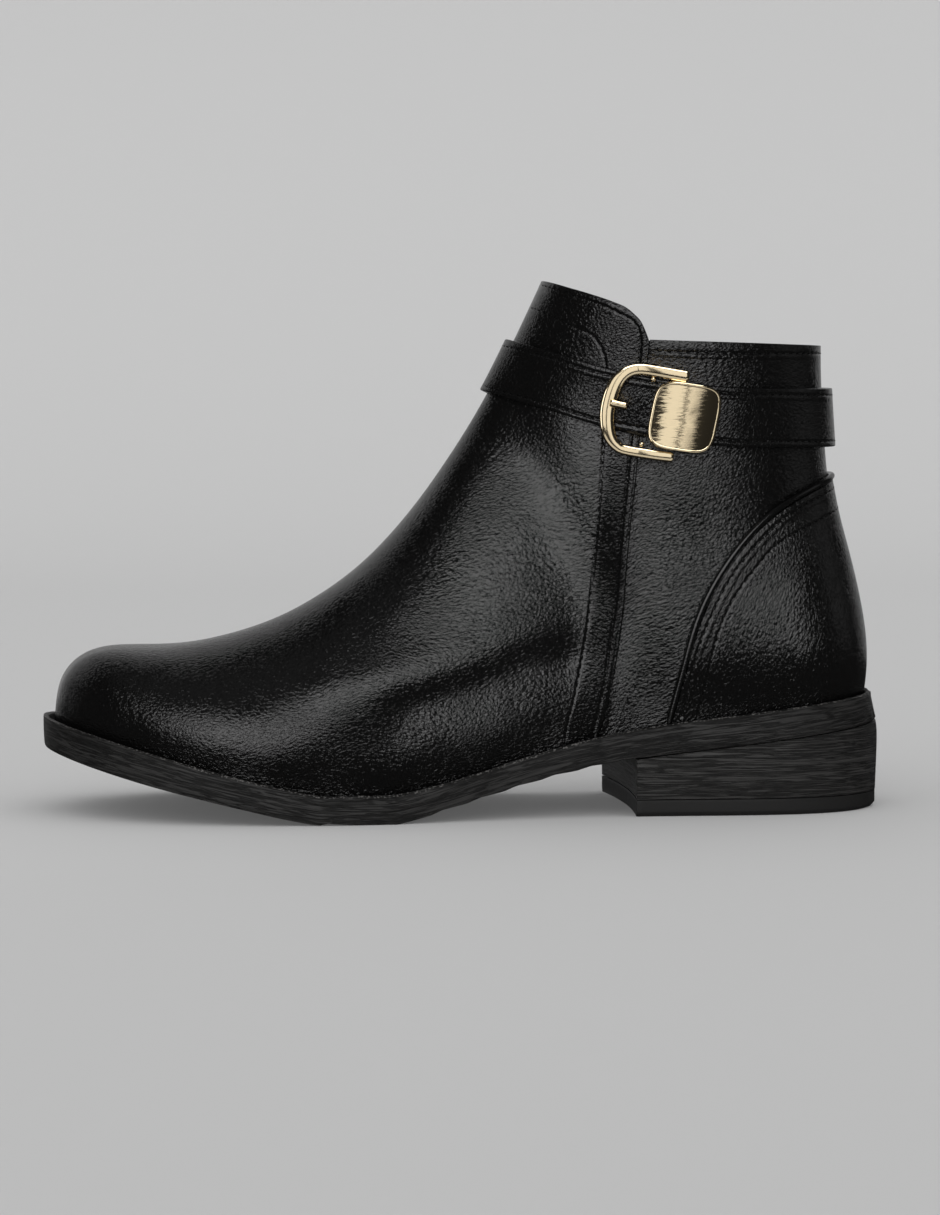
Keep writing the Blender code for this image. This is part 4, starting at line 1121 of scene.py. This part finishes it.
def makeProng():
    front, back = np.array(buckleSet["prong"])
    radius = buckleSet["prongRadius"] * mm
    length = np.hypot(*(front - back))
    deselectAll()
    bpy.ops.mesh.primitive_cylinder_add(vertices=buckleSet["prongSides"], radius=radius, depth=length * mm)
    prong = bpy.context.active_object
    prong.name = "buckleProng"
    selectSharp(prong, buckleSet["sharp"])
    rounding = buckleSet["prongRound"] * radius
    bpy.ops.mesh.bevel(offset=rounding, segments=buckleSet["prongRoundSteps"], affect="EDGES")
    objectMode()
    aside, deep, run = (readPoints(prong) / mm).T
    along = (front - back) / length
    share = run / length + 0.5
    high, low = buckleSet["prongLift"]
    flat = np.stack([
        back[0] + along[0] * share * length - along[1] * aside,
        back[1] + along[1] * share * length + along[0] * aside,
        deep * buckleSet["prongFlat"] + low + (high - low) * np.clip(share * buckleSet["prongClimb"], 0, 1),
    ], -1)
    writePoints(prong, flat * mm)
    layOnStrap(prong, 0)
    return finishPiece(prong, finishes["polishedGold"], "pale_gold", "buckle_prong")


def makePlate():
    deselectAll()
    sides = buckleSet["plateSides"]
    bpy.ops.mesh.primitive_circle_add(vertices=sides, radius=1, fill_type="NGON")
    plate = bpy.context.active_object
    turn = np.linspace(0, 2 * math.pi, buckleSet["outlineSteps"])
    outline = squaredCircle(turn, 2 / buckleSet["plateSquare"]) * buckleSet["plateHalf"]
    runs = runAlong(outline)
    even = np.arange(sides) / sides * runs[-1]
    points = np.stack([*(np.interp(even, runs, axis) for axis in outline.T), 0 * even], -1)
    writePoints(plate, points * mm)
    editAll(plate)
    bpy.ops.mesh.extrude_region_move(TRANSFORM_OT_translate={"value": (0, 0, buckleSet["plateThick"] * mm)})
    for width, height in buckleSet["plateRim"]:
        bpy.ops.mesh.inset(thickness=width * mm, depth=height * mm)
    bpy.ops.mesh.select_all(action="DESELECT")
    objectMode()
    top = max(plate.data.polygons, key=lambda face: face.normal.z * face.area)
    top.select = True
    top.material_index = 1
    bpy.ops.object.mode_set(mode="EDIT")
    bpy.ops.mesh.select_mode(type="FACE")
    for share in buckleSet["faceRings"]:
        bpy.ops.mesh.inset(thickness=buckleSet["ringInset"] * mm)
        bpy.ops.transform.resize(value=(share, share, 1))
    bpy.ops.mesh.poke()
    objectMode()
    along, rise, lift = (readPoints(plate) / mm).T
    half, aside = buckleSet["plateHalf"][0], buckleSet["domeBack"]
    dome = buckleSet["plateDome"] * ((half + aside) ** 2 - (along + aside) ** 2) / half**2
    tiltAlong, tiltRise = (math.radians(angle) for angle in buckleSet["plateTilt"])
    middle, middleUp = buckleSet["plateMiddle"]
    writePoints(plate, mm * np.stack([
        middle + along * math.cos(tiltAlong) - rise * math.sin(tiltRise),
        middleUp + along * math.sin(tiltAlong) + rise * math.cos(tiltRise),
        lift + np.where(lift > buckleSet["domeFrom"], dome, 0),
    ], -1))
    layOnStrap(plate, buckleSet["plateLift"])
    polished, brushed = finishes["polishedGold"], finishes["brushedGold"]
    plate.data.materials.append(polished)
    plate.data.materials.append(brushed)
    editAll(plate)
    bpy.ops.mesh.separate(type="MATERIAL")
    objectMode()
    plate, face = sorted(bpy.context.selected_objects, key=lambda part: part.data.materials[0] == brushed)
    plate.name, face.name = "bucklePlate", "plateFace"
    editAll(plate)
    bpy.ops.mesh.select_mode(type="EDGE")
    bpy.ops.mesh.select_all(action="DESELECT")
    bpy.ops.mesh.select_non_manifold()
    inward = (0, 2 * buckleSet["faceThick"] * mm, 0)
    bpy.ops.mesh.extrude_edges_move(TRANSFORM_OT_translate={"value": inward})
    bpy.ops.mesh.edge_face_add()
    objectMode()
    makeActive(face)
    skin = face.modifiers.new("skin", "SOLIDIFY")
    skin.thickness = buckleSet["faceThick"] * mm
    bpy.ops.object.modifier_apply(modifier="skin")
    finishPiece(plate, polished, "pale_gold", "buckle_plate")
    return plate, finishPiece(face, brushed, "pale_gold")


def makeRivets():
    parts = []
    around, rings = buckleSet["rivetSteps"]
    radius = buckleSet["rivetRadius"] * mm
    for forward, up in buckleSet["rivets"]:
        deselectAll()
        bpy.ops.mesh.primitive_uv_sphere_add(segments=around, ring_count=rings, radius=radius,
                                             location=(forward * mm, up * mm, 0))
        bpy.ops.object.transform_apply(location=True)
        parts.append(bpy.context.active_object)
    for part in parts:
        part.select_set(True)
    bpy.ops.object.join()
    rivets = bpy.context.active_object
    rivets.name = "buckleRivets"
    layOnStrap(rivets, buckleSet["rivetLift"])
    return finishPiece(rivets, finishes["polishedGold"], "pale_gold")


strapFit = strapSurface()
plate, plateFace = makePlate()
for piece in (makeBar(), makeProng(), plate, makeRivets()):
    roundGold.objects.link(piece)
for piece in (*roundGold.objects, plateFace):
    goldPieces.objects.link(piece)
    notLeather.objects.link(piece)
for item in notLeather.collection_objects:
    item.light_linking.link_state = "EXCLUDE"
print("buckle laid on the strap")
